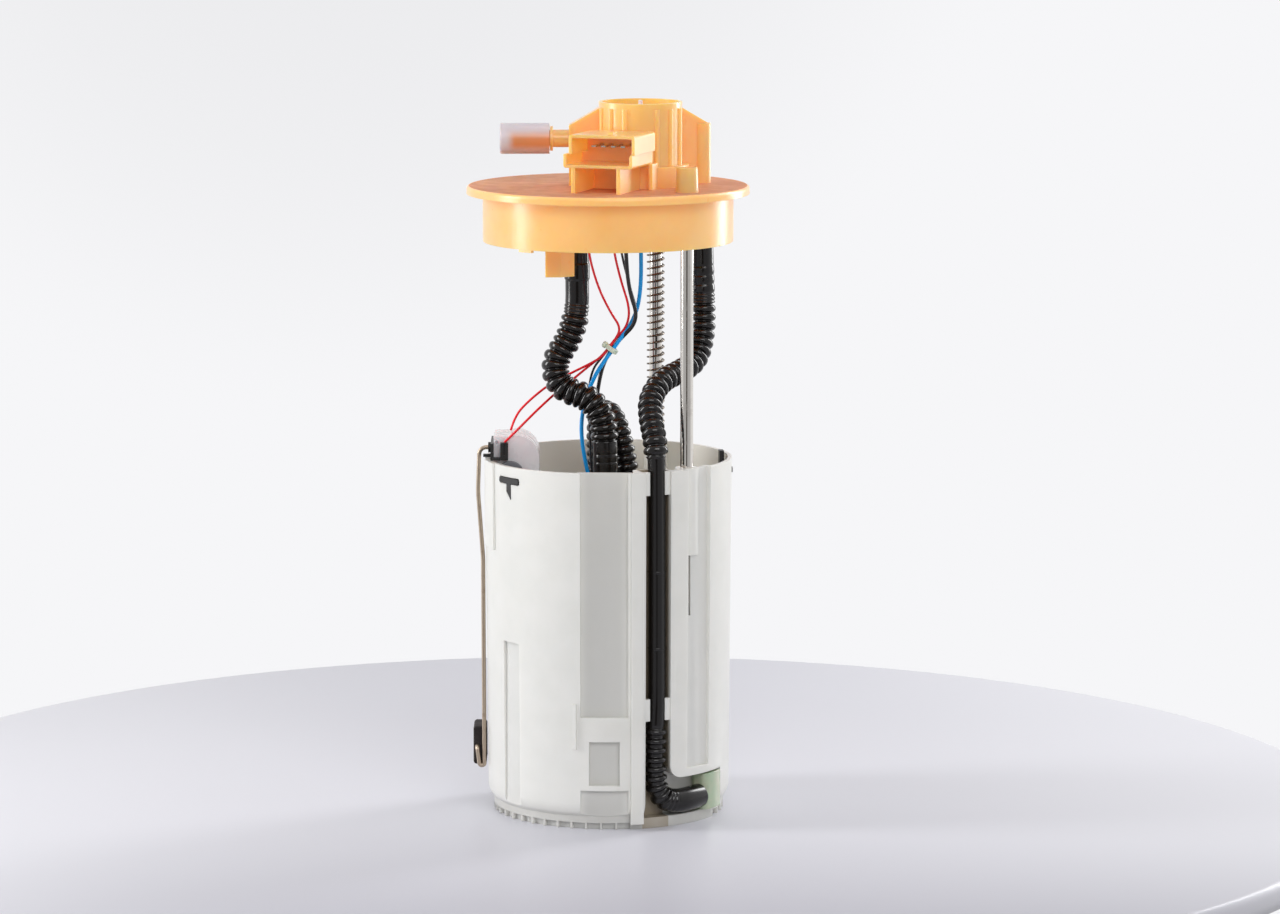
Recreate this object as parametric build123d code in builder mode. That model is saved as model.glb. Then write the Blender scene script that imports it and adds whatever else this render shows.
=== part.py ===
from build123d import *
from math import atan2, cos, degrees, hypot, pi, radians, sin, tan
import os

# Fuel pump module, in millimetres.
# Origin: centre of the foot ring's underside. +Z is up, -Y is the side the connector faces.
# An angle round the module is counted from -Y, and grows towards +X.

# ---------------------------------------------------------------- driving dimensions

# reservoir cup
cup_height = 177.5
cup_rim_radius = 61.5
cup_base_radius = 60.2
cup_wall = 2.0
cup_corner = 8.5
cup_floor_bottom = 4.5
cup_floor = 2.5
foot_radius = 57.4
foot_wall = 3.0
gate_boss_radius = 6.0
tooth_count = 48
tooth_gap = 6.4
tooth_depth = 1.9
tooth_height = 3.2
tooth_arc = (62, 372)
recess_depth = 2.6
pocket_width = 15.0
groove_angle = -52.5
groove_width = 12.4
groove_depth = 1.2
groove_bottom = 5.5
groove_top = 90.0
groove_backing = 1.0

# channel for the return hose, on the outside of the cup
channel_angle = 23.8
channel_width = 13.4
channel_floor_radius = 50.6
strip_floor_radius = 58.9
rod_slot_angle = 42.6
rod_slot_width = 1.3
rod_slot_bottom = 104.5
post_corner = 6.5
clip_heights = ((54.0, 11.0), (cup_height - 11.5, 11.5))
clip_depth = 2.2

# guide rods and the spring
rod_radius = 3.2
front_rod_bottom = 109.0
rod_top_depth = 9.0
front_rod = (38.4, -38.8)
rear_rod = (24.0, 48.2)
guide_clearance = 0.08
guide_outer_radius = 5.8
guide_length = 43.0
rod_clip_radius = 4.3
rod_clip_thickness = 1.0
rod_clip_seat = 2.5
spring_outer_radius = 4.6
spring_wire = 0.9
spring_pitch = 3.26
spring_washer = 0.8
travel = 80.0

# flange
disc_radius = 70.0
disc_top = 313.0
disc_thickness = 4.0
skirt_radius = 62.0
skirt_wall = 2.5
skirt_depth = 23.5
skirt_corner = 2.4
tower_centre = (16.0, 0.0)
tower_radius = 20.6
tower_bore_radius = 19.0
tower_top = 354.3
tower_rib_angles = (22.5, 45.0, 67.5, 112.5, 135.0, 157.5, 202.5, 225.0, 247.5, 292.5, 315.0, 337.5)
tower_rib_radius = 1.35
tower_rib_top = 351.5
tower_step_radius = 24.0
tower_step_height = 10.4
tower_floor = 3.0
duct_left = -19.3
duct_top = 342.7
duct_width = 11.0
web_thickness = 5.0
post_centre = (46.5, 12.0)
post_radius = 4.5
boss_radius = 5.4
boss_height = 12.0

# fuel nipple and its transport cap
nipple_height = 336.0
nipple_root_radius = 4.35
nipple_collar_radius = 6.1
nipple_collar_left = -28.6
nipple_collar_width = 1.4
nipple_radius = 3.95
nipple_left = -50.3
nipple_bore = 2.4
cap_radius = 7.6
cap_wall = 1.3
cap_left = -53.4
cap_lip_gap = 0.3
cap_plug_length = 9.0
cap_plug_clearance = 0.12

# connector shell
connector_angle = 19.0
mouth_centre = (-4.45, -49.45)
shell_bottom = 325.3
shell_top = 341.4
shell_key_height = 332.0
shell_lower_span = (-18.3, 17.0)
shell_upper_span = (-15.5, 18.3)
shell_wall = 1.5
shell_depth = 31.0
shell_cavity_depth = 23.0
pedestal_span = (-14.3, 10.9)
pedestal_wall = 2.0
pin_count = 4
pin_pitch = 5.0
pin_first = -6.5
pin_height = 335.2
pin_width = 2.2
pin_thickness = 0.8
pin_reach = 12.0
peg_bottom = 270.0

# spigots under the flange and in the tank-side fittings
hose_bore = 8.4
spigot_clearance = 0.12
supply_spigot = (-15.4, 0.0)
spigot_boss_radius = 6.9
spigot_boss_depth = 13.0
spigot_length = 14.0
fuel_way = 2.6

# hoses and wires
supply_hose_radius = 6.6
link_hose_radius = 5.8
return_hose_radius = 5.4
return_hose_bore = 6.0
return_slim_radius = 4.3
thin_wire = 1.2
thick_wire = 2.0

# pump
pump_axis = (6.0, -7.0)
pump_radius = 19.0
can_bottom = 34.0
can_top = 104.0
outlet_cap_top = 118.0
outlet_spigot_top = 133.0
outlet_a = (-1.5, -13.0)
outlet_b = (11.5, 0.5)
inlet_bottom = 22.0
strainer_bottom = 9.0
sleeve_radius = 20.9
sleeve_bottom = 84.0
sleeve_top = 103.0
piece_gap = 0.15

# pump holder
holder_ring_radius = 23.6
holder_bottom = 88.0
holder_top = 100.0
holder_arm_width = 8.0
holder_arm_height = 6.0
latch_angles = (-53.0, 97.0, 181.0)
leg_radius = cup_base_radius - 2.3
leg_thickness = 2.2
leg_width = 9.0
tee_top = cup_height - 5.5
tee_bar_bottom = tee_top - 2.8
tee_bottom = tee_top - 10.6
tee_width = 15.6
tee_stem_width = 3.2
slot_gap = 0.35

# level sender and float
pivot_height = cup_height + 4.5
housing_left = -56.8
housing_right = -34.2
housing_front = -15.0
housing_back = 12.0
housing_bottom = cup_height - 19.5
housing_top = cup_height + 12.5
hub_radius = 5.6
journal_radius = 2.6
bracket_thickness = 1.3
bracket_length = 28.6
arm_radius = 1.05
float_width = 6.6
float_height = 19.2
float_length = 20.0
float_centre = (-64.6, 12.2, 30.3)

# ---------------------------------------------------------------- derived sizes

disc_bottom = disc_top - disc_thickness
skirt_bottom = disc_bottom - skirt_depth
cup_floor_top = cup_floor_bottom + cup_floor
cup_slope = (cup_rim_radius - cup_base_radius) / (cup_height - cup_floor_bottom)


def cup_outer(z):
    """Radius of the cup's outer surface at height z."""
    return cup_base_radius + cup_slope * (z - cup_floor_bottom)


def around(angle, radius, z=0.0):
    """Place at this angle round the module, its -Y axis pointing outwards."""
    a = radians(angle)
    return Location((radius * sin(a), -radius * cos(a), z), (0, 0, angle))


def ring_block(inner, outer, start, end, bottom, height, mode=Mode.ADD):
    """Add or cut a block of a ring between two angles, in the open part."""
    a = radians(start)
    section = Plane(origin=(0, 0, 0), x_dir=(sin(a), -cos(a), 0), z_dir=(-cos(a), -sin(a), 0))
    with BuildSketch(section, mode=Mode.PRIVATE) as profile:
        with Locations(((inner + outer) / 2, bottom + height / 2)):
            Rectangle(outer - inner, height)
    revolve(profile.sketch, axis=Axis.Z, revolution_arc=end - start, mode=mode)


def face_plane(angle, radius):
    """Upright plane facing outwards at this angle, with its x axis level."""
    a = radians(angle)
    outwards = (sin(a), -cos(a), 0)
    return Plane(origin=around(angle, radius).position, x_dir=(cos(a), sin(a), 0), z_dir=outwards)


def latch_face(gap):
    """Draw a latch's T with its tapered stem, grown by the gap, in the open sketch."""
    half_stem = tee_stem_width / 2 + gap
    with Locations((0, (tee_bar_bottom + tee_top) / 2)):
        RectangleRounded(tee_width + 2 * gap, tee_top - tee_bar_bottom + 2 * gap, 1.0)
    Polygon(
        (-half_stem, tee_top - 1),
        (-half_stem, tee_bottom + 4 - gap),
        (half_stem, tee_bottom - gap),
        (half_stem, tee_top - 1),
        align=None,
    )


def finish(builder, name):
    """Label one piece and write it."""
    builder.part.label = name
    export_step(builder.part, f"parts/{name}.step")
    return builder.part


os.makedirs("parts", exist_ok=True)

# ---------------------------------------------------------------- reservoir cup

channel_half = channel_width / 2
panel_angles = (-13.2, 9.2)
strip_angles = (39.8, 55.0)
foot_bay_angles = (16.5, 67.0)
foot_bay_top = 24.5
rod_chamber_radius = rod_radius + 0.5
rod_chamber_bottom = front_rod_bottom - travel - 1.5
sleeve_low = cup_height - guide_length
strip_bottom = foot_bay_top + 4.0
backing_wall = 1.8

# the room inside the cup, less the walls that stand behind the outside recesses and round the guides
backing_top = cup_height - cup_floor_top + 2
with BuildPart() as cup_room:
    with BuildSketch(Plane.XZ):
        with BuildLine():
            Polyline(
                (0, cup_floor_top),
                (cup_base_radius - cup_wall, cup_floor_top),
                (cup_rim_radius - cup_wall, cup_height + 1),
                (0, cup_height + 1),
                close=True,
            )
        room_face = make_face()
        fillet(room_face.vertices().group_by(Axis.Y)[0].sort_by(Axis.X)[-1], cup_corner - cup_wall)
    revolve(axis=Axis.Z)
    with Locations(around(channel_angle, channel_floor_radius - backing_wall, cup_floor_bottom)):
        Box(
            channel_width + 2 * backing_wall,
            cup_base_radius - channel_floor_radius + 4,
            backing_top + cup_floor,
            align=(Align.CENTER, Align.MAX, Align.MIN),
            mode=Mode.SUBTRACT,
        )
    ring_block(
        strip_floor_radius - backing_wall,
        cup_rim_radius + 2,
        strip_angles[0] - 9,
        strip_angles[1] + 2,
        cup_floor_bottom,
        backing_top + cup_floor,
        mode=Mode.SUBTRACT,
    )
    ring_block(
        channel_floor_radius - backing_wall,
        cup_rim_radius + 2,
        foot_bay_angles[0] - 2,
        foot_bay_angles[1] + 2,
        cup_floor_bottom,
        foot_bay_top - cup_floor_bottom + backing_wall,
        mode=Mode.SUBTRACT,
    )
    panel_middle = (panel_angles[0] + panel_angles[1]) / 2
    panel_width = 2 * cup_base_radius * sin(radians((panel_angles[1] - panel_angles[0]) / 2))
    with Locations(around(panel_middle, cup_base_radius - recess_depth - backing_wall, cup_floor_bottom)):
        Box(
            panel_width + 2 * backing_wall,
            10,
            backing_top + cup_floor,
            align=(Align.CENTER, Align.MAX, Align.MIN),
            mode=Mode.SUBTRACT,
        )
    with Locations(around(groove_angle, cup_base_radius - groove_depth - groove_backing, cup_floor_bottom)):
        Box(
            groove_width + 2 * groove_backing,
            6,
            groove_top + groove_backing - cup_floor_bottom,
            align=(Align.CENTER, Align.MAX, Align.MIN),
            mode=Mode.SUBTRACT,
        )
    with Locations((front_rod[0], front_rod[1], cup_floor_bottom)):
        Cylinder(
            rod_chamber_radius + backing_wall,
            backing_top + cup_floor,
            align=(Align.CENTER, Align.CENTER, Align.MIN),
            mode=Mode.SUBTRACT,
        )
    with Locations((rear_rod[0], rear_rod[1], sleeve_low)):
        Cylinder(
            guide_outer_radius,
            guide_length + 2,
            align=(Align.CENTER, Align.CENTER, Align.MIN),
            mode=Mode.SUBTRACT,
        )

with BuildPart() as reservoir_cup:
    # outer form with its draft and rounded bottom corner, then the room inside
    with BuildSketch(Plane.XZ):
        with BuildLine():
            Polyline(
                (0, cup_floor_bottom),
                (cup_base_radius, cup_floor_bottom),
                (cup_rim_radius, cup_height),
                (0, cup_height),
                close=True,
            )
        shell_face = make_face()
        fillet(shell_face.vertices().group_by(Axis.Y)[0].sort_by(Axis.X)[-1], cup_corner)
    revolve(axis=Axis.Z)
    add(cup_room.part, mode=Mode.SUBTRACT)
    # raised pad beside the float arm, and the ridge left of the channel
    ring_block(cup_rim_radius - 1.0, cup_rim_radius + 0.9, -80, -66, sleeve_low, guide_length)
    ring_block(cup_base_radius - 0.8, cup_rim_radius + 0.5, 10.4, 16.2, 3.2, cup_height - 3.2)
    with Locations(around(-16.0, cup_base_radius - 0.5, 40.5)):
        Box(2.0, 1.9, 22.5, align=(Align.CENTER, Align.MAX, Align.MIN))
    # foot ring with its teeth
    with BuildSketch(Plane.XY):
        Circle(foot_radius)
        Circle(foot_radius - foot_wall, mode=Mode.SUBTRACT)
        Circle(gate_boss_radius)
    extrude(amount=cup_floor_bottom + 2.2)
    tooth_step = 360 / tooth_count
    gap_angles = [
        step * tooth_step
        for step in range(tooth_count + 2)
        if tooth_arc[0] < step * tooth_step < tooth_arc[1]
    ]
    with Locations(*[around(angle, foot_radius) for angle in gap_angles]):
        Box(tooth_gap, 2 * tooth_depth, 2 * tooth_height, mode=Mode.SUBTRACT)
    # outside recesses: channel, strip, foot bay, panel and the two pockets below it
    with Locations(around(channel_angle, channel_floor_radius, cup_floor_bottom + 0.7)):
        Box(channel_width, 20, cup_height, align=(Align.CENTER, Align.MAX, Align.MIN), mode=Mode.SUBTRACT)
    ring_block(
        strip_floor_radius,
        cup_rim_radius + 4,
        strip_angles[0],
        strip_angles[1],
        strip_bottom,
        cup_height - strip_bottom + 1,
        mode=Mode.SUBTRACT,
    )
    ring_block(
        channel_floor_radius,
        cup_rim_radius + 4,
        channel_angle,
        foot_bay_angles[1],
        cup_floor_bottom + 0.7,
        foot_bay_top - cup_floor_bottom - 0.7,
        mode=Mode.SUBTRACT,
    )
    with BuildSketch(face_plane(channel_angle, channel_floor_radius)):
        with Locations((channel_half - 0.1, foot_bay_top - 0.1)):
            Rectangle(post_corner, post_corner, align=(Align.MIN, Align.MIN))
        with Locations((channel_half + post_corner, foot_bay_top + post_corner)):
            Circle(post_corner, mode=Mode.SUBTRACT)
    extrude(amount=14, mode=Mode.SUBTRACT)
    with Locations((front_rod[0], front_rod[1], sleeve_low)):
        Cylinder(guide_outer_radius, guide_length, align=(Align.CENTER, Align.CENTER, Align.MIN))
    for low, high, width in (
        (56.4, cup_height + 1, panel_width),
        (22.4, 44.4, pocket_width),
        (cup_floor_bottom + 0.7, 19.9, panel_width),
    ):
        with Locations(around(panel_middle, cup_base_radius - recess_depth, low)):
            Box(width, 12, high - low, align=(Align.CENTER, Align.MAX, Align.MIN), mode=Mode.SUBTRACT)
    # shallow groove on the left
    with Locations(around(groove_angle, cup_base_radius - groove_depth, groove_bottom)):
        Box(
            groove_width,
            6,
            groove_top - groove_bottom,
            align=(Align.CENTER, Align.MAX, Align.MIN),
            mode=Mode.SUBTRACT,
        )
    # bores of the guides
    with Locations((front_rod[0], front_rod[1], sleeve_low - 5)):
        Cylinder(
            rod_radius + guide_clearance,
            guide_length + 10,
            align=(Align.CENTER, Align.CENTER, Align.MIN),
            mode=Mode.SUBTRACT,
        )
    with Locations((front_rod[0], front_rod[1], rod_chamber_bottom)):
        Cylinder(
            rod_chamber_radius,
            sleeve_low - rod_chamber_bottom,
            align=(Align.CENTER, Align.CENTER, Align.MIN),
            mode=Mode.SUBTRACT,
        )
    with Locations(around(rod_slot_angle, cup_rim_radius + 2, rod_slot_bottom)):
        Box(
            rod_slot_width,
            cup_rim_radius + 2 - strip_floor_radius + 4,
            sleeve_low - rod_slot_bottom,
            align=(Align.CENTER, Align.MIN, Align.MIN),
            mode=Mode.SUBTRACT,
        )
    with Locations((rear_rod[0], rear_rod[1], sleeve_low - 5)):
        Cylinder(
            rod_radius + guide_clearance,
            guide_length + 10,
            align=(Align.CENTER, Align.CENTER, Align.MIN),
            mode=Mode.SUBTRACT,
        )
    # clips that keep the return hose in the channel
    for low, tall in clip_heights:
        for side in (-1, 1):
            with Locations(around(channel_angle, cup_base_radius - 3.2, low)):
                with Locations((side * (channel_half + 0.5), 0, 0)):
                    Box(
                        clip_depth + 1.0,
                        2.6,
                        tall,
                        align=(Align.MAX if side > 0 else Align.MIN, Align.MAX, Align.MIN),
                    )
    # slots for the holder's latches
    for latch_angle in latch_angles:
        with BuildSketch(face_plane(latch_angle, leg_radius)):
            latch_face(slot_gap)
        extrude(amount=12, mode=Mode.SUBTRACT)
    # valve hole in the floor
    with Locations((-26, 12, 0)):
        Cylinder(5.0, 30, mode=Mode.SUBTRACT)
finish(reservoir_cup, "reservoir_cup")

# ---------------------------------------------------------------- flange

turn = radians(connector_angle)
connector = Plane(
    origin=(mouth_centre[0], mouth_centre[1], 0),
    x_dir=(cos(turn), -sin(turn), 0),
    z_dir=(-sin(turn), -cos(turn), 0),
)
connector_place = Location((mouth_centre[0], mouth_centre[1], 0), (0, 0, -connector_angle))
web_reach = hypot(post_centre[0] - tower_centre[0], post_centre[1] - tower_centre[1])
web_dir = (
    (post_centre[0] - tower_centre[0]) / web_reach,
    (post_centre[1] - tower_centre[1]) / web_reach,
)
web_plane = Plane(
    origin=(tower_centre[0], tower_centre[1], 0),
    x_dir=(web_dir[0], web_dir[1], 0),
    z_dir=(web_dir[1], -web_dir[0], 0),
)
tower_floor_top = disc_top + tower_floor
rod_top = disc_top + rod_top_depth
spigot_top = disc_bottom - spigot_boss_depth
spigot_bottom = spigot_top - spigot_length
spigot_radius = hose_bore / 2 - spigot_clearance
return_spigot_radius = return_hose_bore / 2 - spigot_clearance
wire_block_depth = 6.0
pin_places = [(pin_first + i * pin_pitch, pin_height) for i in range(pin_count)]


def keyed_outline(inset, corner):
    """Sketch of the connector shell's stepped outline, drawn in by an inset."""
    low = shell_bottom + inset
    high = shell_top - inset
    key = shell_key_height
    with BuildSketch(connector, mode=Mode.PRIVATE) as outline:
        with BuildLine():
            Polyline(
                (shell_lower_span[0] + inset, low),
                (shell_lower_span[1] - inset, low),
                (shell_lower_span[1] - inset, key - inset / 2),
                (shell_upper_span[1] - inset, key + inset / 2),
                (shell_upper_span[1] - inset, high),
                (shell_upper_span[0] + inset, high),
                (shell_upper_span[0] + inset, key),
                (shell_lower_span[0] + inset, key),
                close=True,
            )
        make_face()
        fillet(outline.vertices().group_by(Axis.Y)[0], corner)
        fillet(outline.vertices().group_by(Axis.Y)[-1], corner)
    return outline.sketch


with BuildPart() as flange_cover:
    # rim disc and skirt
    with BuildSketch(Plane.XZ):
        with BuildLine():
            Polyline(
                (0, disc_top),
                (disc_radius, disc_top),
                (disc_radius, disc_bottom),
                (skirt_radius, disc_bottom),
                (skirt_radius, skirt_bottom),
                (skirt_radius - skirt_wall, skirt_bottom),
                (skirt_radius - skirt_wall, disc_bottom),
                (0, disc_bottom),
                close=True,
            )
        section = make_face()
        fillet(section.vertices().sort_by_distance((disc_radius, disc_top))[0], 1.7)
        fillet(section.vertices().sort_by_distance((disc_radius, disc_bottom))[0], 1.3)
        fillet(section.vertices().sort_by_distance((skirt_radius, skirt_bottom))[0], skirt_corner)
    revolve(axis=Axis.Z)
    # pedestal under the connector shell, open to the front
    pedestal_depth = shell_depth - 1
    pedestal_height = shell_bottom - disc_top + 1
    with Locations(connector_place):
        with Locations(((pedestal_span[0] + pedestal_span[1]) / 2, 0, disc_top - 0.5)):
            Box(
                pedestal_span[1] - pedestal_span[0],
                pedestal_depth,
                pedestal_height,
                align=(Align.CENTER, Align.MIN, Align.MIN),
            )
        with Locations(((pedestal_span[0] + pedestal_span[1]) / 2, -1, disc_top)):
            Box(
                pedestal_span[1] - pedestal_span[0] - 2 * pedestal_wall,
                pedestal_depth - pedestal_wall + 1,
                shell_bottom - disc_top,
                align=(Align.CENTER, Align.MIN, Align.MIN),
                mode=Mode.SUBTRACT,
            )
        with Locations((shell_upper_span[1] - pedestal_wall / 2, shell_depth - 4, disc_top - 0.5)):
            Box(pedestal_wall, 8, pedestal_height, align=(Align.CENTER, Align.MIN, Align.MIN))
        with Locations((5.1, 2.5, shell_top - 0.3)):
            Box(2.4, 6, 1.6, align=(Align.CENTER, Align.MIN, Align.MIN))
    extrude(keyed_outline(0, 1.3), amount=-shell_depth)
    # tower with its step ring and ribs
    with Locations((tower_centre[0], tower_centre[1], disc_top - 0.5)):
        Cylinder(
            tower_step_radius,
            tower_step_height + 0.5,
            align=(Align.CENTER, Align.CENTER, Align.MIN),
        )
        Cylinder(
            tower_radius,
            tower_top - disc_top + 0.5,
            align=(Align.CENTER, Align.CENTER, Align.MIN),
        )
    rib_places = [
        (
            tower_centre[0] + (tower_radius - 0.1) * sin(radians(angle)),
            tower_centre[1] - (tower_radius - 0.1) * cos(radians(angle)),
            disc_top,
        )
        for angle in tower_rib_angles
    ]
    with Locations(*rib_places):
        Cylinder(
            tower_rib_radius,
            tower_rib_top - disc_top,
            align=(Align.CENTER, Align.CENTER, Align.MIN),
        )
    # duct block on the left, with its sloping top
    with BuildSketch(Plane.XZ.offset(-duct_width / 2)):
        with BuildLine():
            Polyline(
                (duct_left, disc_top - 0.5),
                (duct_left, duct_top),
                (tower_centre[0] - tower_radius + 0.6, tower_rib_top),
                (tower_centre[0], tower_rib_top),
                (tower_centre[0], disc_top - 0.5),
                close=True,
            )
        make_face()
    extrude(amount=duct_width)
    # sloping web and return post on the right
    with BuildSketch(web_plane.offset(-web_thickness / 2)):
        with BuildLine():
            Polyline(
                (0, disc_top - 0.5),
                (0, tower_rib_top),
                (tower_radius - 0.6, tower_rib_top),
                (web_reach + 2.5, duct_top),
                (web_reach + 2.5, disc_top - 0.5),
                close=True,
            )
        make_face()
    extrude(amount=web_thickness)
    with Locations((post_centre[0], post_centre[1], disc_top - 0.5)):
        Cylinder(
            post_radius,
            duct_top - disc_top + 0.5,
            align=(Align.CENTER, Align.CENTER, Align.MIN),
        )
    # socket bosses of the two rods
    for rod_place in (front_rod, rear_rod):
        with Locations((rod_place[0], rod_place[1], disc_top - 0.5)):
            Cone(
                boss_radius + 0.3,
                boss_radius - 0.2,
                boss_height + 0.5,
                align=(Align.CENTER, Align.CENTER, Align.MIN),
            )
    # fuel nipple
    with BuildSketch(Plane.XZ):
        with BuildLine():
            Polyline(
                (duct_left + 1, nipple_height),
                (duct_left + 1, nipple_height + nipple_root_radius),
                (nipple_collar_left + nipple_collar_width, nipple_height + nipple_root_radius),
                (nipple_collar_left + nipple_collar_width, nipple_height + nipple_collar_radius),
                (nipple_collar_left, nipple_height + nipple_collar_radius),
                (nipple_collar_left, nipple_height + nipple_radius),
                (nipple_left + 0.8, nipple_height + nipple_radius),
                (nipple_left, nipple_height + nipple_radius - 0.8),
                (nipple_left, nipple_height),
                close=True,
            )
        make_face()
    revolve(axis=Axis((0, 0, nipple_height), (1, 0, 0)))
    # spigots for the two hoses, the block the wires leave from, and the peg below the skirt
    with Locations((supply_spigot[0], supply_spigot[1], spigot_top)):
        Cylinder(
            spigot_boss_radius,
            spigot_boss_depth + 0.5,
            align=(Align.CENTER, Align.CENTER, Align.MIN),
        )
        Cylinder(
            spigot_radius,
            2 * spigot_length,
        )
    with Locations((post_centre[0], post_centre[1], spigot_top)):
        Cylinder(
            spigot_boss_radius - 0.9,
            spigot_boss_depth + 0.5,
            align=(Align.CENTER, Align.CENTER, Align.MIN),
        )
        Cylinder(
            return_spigot_radius,
            2 * spigot_length,
        )
    with Locations((2.6, -15, disc_bottom - wire_block_depth)):
        Box(34, 9, wire_block_depth + 0.5, align=(Align.CENTER, Align.CENTER, Align.MIN))
    with BuildSketch(Plane.XY.offset(peg_bottom)):
        with BuildLine():
            Polyline(
                (-30.8, -27.5),
                (-23.2, -27.5),
                (-16.6, -23.0),
                (-16.6, -20.0),
                (-22.6, -24.4),
                (-30.8, -24.4),
                close=True,
            )
        make_face()
    extrude(amount=disc_bottom - peg_bottom + 0.5)
    with Locations(around(-41, skirt_radius - skirt_wall / 2, skirt_bottom - 1.3)):
        Box(8, 2, 2, align=(Align.CENTER, Align.CENTER, Align.MIN))
    # openings and bores
    with Locations((tower_centre[0], tower_centre[1], tower_floor_top)):
        Cylinder(
            tower_bore_radius,
            tower_top - tower_floor_top + 1,
            align=(Align.CENTER, Align.CENTER, Align.MIN),
            mode=Mode.SUBTRACT,
        )
    extrude(keyed_outline(shell_wall, 0.7), amount=-shell_cavity_depth, mode=Mode.SUBTRACT)
    with BuildSketch(connector.offset(-shell_cavity_depth + 1)):
        with Locations(*pin_places):
            Rectangle(pin_width + 0.1, pin_thickness + 0.1)
    extrude(amount=-6, mode=Mode.SUBTRACT)
    with Locations((supply_spigot[0], supply_spigot[1], spigot_bottom - 1)):
        Cylinder(
            fuel_way,
            nipple_height - spigot_bottom + 1 + fuel_way,
            align=(Align.CENTER, Align.CENTER, Align.MIN),
            mode=Mode.SUBTRACT,
        )
    with Locations(Location((nipple_left - 1, 0, nipple_height), (0, 90, 0))):
        Cylinder(
            nipple_bore,
            supply_spigot[0] - nipple_left + 1,
            align=(Align.CENTER, Align.CENTER, Align.MIN),
            mode=Mode.SUBTRACT,
        )
    with Locations((post_centre[0], post_centre[1], spigot_bottom - 1)):
        Cylinder(
            return_spigot_radius - 1.1,
            duct_top - 4 - spigot_bottom,
            align=(Align.CENTER, Align.CENTER, Align.MIN),
            mode=Mode.SUBTRACT,
        )
    for rod_place in (front_rod, rear_rod):
        with Locations((rod_place[0], rod_place[1], disc_bottom - 1)):
            Cylinder(
                rod_radius + 0.04,
                rod_top - disc_bottom + 1,
                align=(Align.CENTER, Align.CENTER, Align.MIN),
                mode=Mode.SUBTRACT,
            )
finish(flange_cover, "flange_cover")

with BuildPart() as connector_pins:
    with BuildSketch(connector.offset(-shell_cavity_depth - 4.9)):
        with Locations(*pin_places):
            Rectangle(pin_width, pin_thickness)
    extrude(amount=pin_reach + 4.9)
finish(connector_pins, "connector_pins")

with BuildPart() as tower_valve:
    valve_bottom = tower_floor_top + 0.1
    with BuildSketch(Plane.XZ.offset(-tower_centre[1])):
        with BuildLine():
            Polyline(
                (tower_centre[0], valve_bottom),
                (tower_centre[0] + 12.0, valve_bottom),
                (tower_centre[0] + 12.0, valve_bottom + 12.0),
                (tower_centre[0] + 9.0, valve_bottom + 15.0),
                (tower_centre[0] + 4.0, valve_bottom + 16.0),
                (tower_centre[0] + 3.0, valve_bottom + 24.0),
                (tower_centre[0] + 1.3, valve_bottom + 27.0),
                (tower_centre[0] + 1.1, tower_top + 0.5),
                (tower_centre[0], tower_top + 0.8),
                close=True,
            )
        make_face()
    revolve(axis=Axis((tower_centre[0], tower_centre[1], 0), (0, 0, 1)))
finish(tower_valve, "tower_valve")

# the cap stands clear of the nipple, and its plug sits in the bore
cap_plug_radius = nipple_bore - cap_plug_clearance
with BuildPart() as transport_cap:
    with BuildSketch(Plane.XZ):
        with BuildLine():
            Polyline(
                (cap_left, nipple_height),
                (cap_left, nipple_height + cap_radius),
                (nipple_collar_left - cap_lip_gap, nipple_height + cap_radius),
                (nipple_collar_left - cap_lip_gap, nipple_height + cap_radius - cap_wall),
                (cap_left + cap_wall, nipple_height + cap_radius - cap_wall),
                (cap_left + cap_wall, nipple_height + cap_plug_radius),
                (nipple_left + cap_plug_length, nipple_height + cap_plug_radius),
                (nipple_left + cap_plug_length, nipple_height),
                close=True,
            )
        cap_section = make_face()
        fillet(cap_section.vertices().sort_by_distance((cap_left, nipple_height + cap_radius))[0], 0.7)
    revolve(axis=Axis((0, 0, nipple_height), (1, 0, 0)))
finish(transport_cap, "transport_cap")

# ---------------------------------------------------------------- rods, clip and spring

rear_rod_bottom = sleeve_low - rod_clip_seat - rod_clip_thickness
rod_ends = {"guide_rod_front": (front_rod, front_rod_bottom), "guide_rod_rear": (rear_rod, rear_rod_bottom)}
clip_bottom = sleeve_low - guide_clearance - 0.12 - rod_clip_thickness
groove_radius = rod_radius - 0.7
for rod_name, (rod_place, low) in rod_ends.items():
    with BuildPart() as guide_rod:
        with Locations((rod_place[0], rod_place[1], low)):
            Cylinder(rod_radius, rod_top - 0.2 - low, align=(Align.CENTER, Align.CENTER, Align.MIN))
        chamfer(guide_rod.edges().filter_by(GeomType.CIRCLE), 0.5)
        if rod_name == "guide_rod_rear":
            with BuildSketch(Plane.XY.offset(clip_bottom - 0.05)):
                with Locations(rod_place):
                    Circle(rod_radius + 1)
                    Circle(groove_radius, mode=Mode.SUBTRACT)
            extrude(amount=rod_clip_thickness + 0.1, mode=Mode.SUBTRACT)
    finish(guide_rod, rod_name)

with BuildPart() as rod_clip:
    with BuildSketch(Plane.XY.offset(clip_bottom)):
        with Locations(rear_rod):
            Circle(rod_clip_radius)
            Circle(groove_radius + 0.05, mode=Mode.SUBTRACT)
            with Locations((0, -rod_clip_radius)):
                Rectangle(1.6, 2 * rod_clip_radius, mode=Mode.SUBTRACT)
    extrude(amount=rod_clip_thickness)
finish(rod_clip, "rod_clip")

with BuildPart() as spring_seat:
    with BuildSketch(Plane.XY.offset(cup_height + 0.05)):
        with Locations(rear_rod):
            Circle(guide_outer_radius)
            Circle(rod_radius + 0.15, mode=Mode.SUBTRACT)
    extrude(amount=spring_washer)
finish(spring_seat, "spring_seat")

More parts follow.
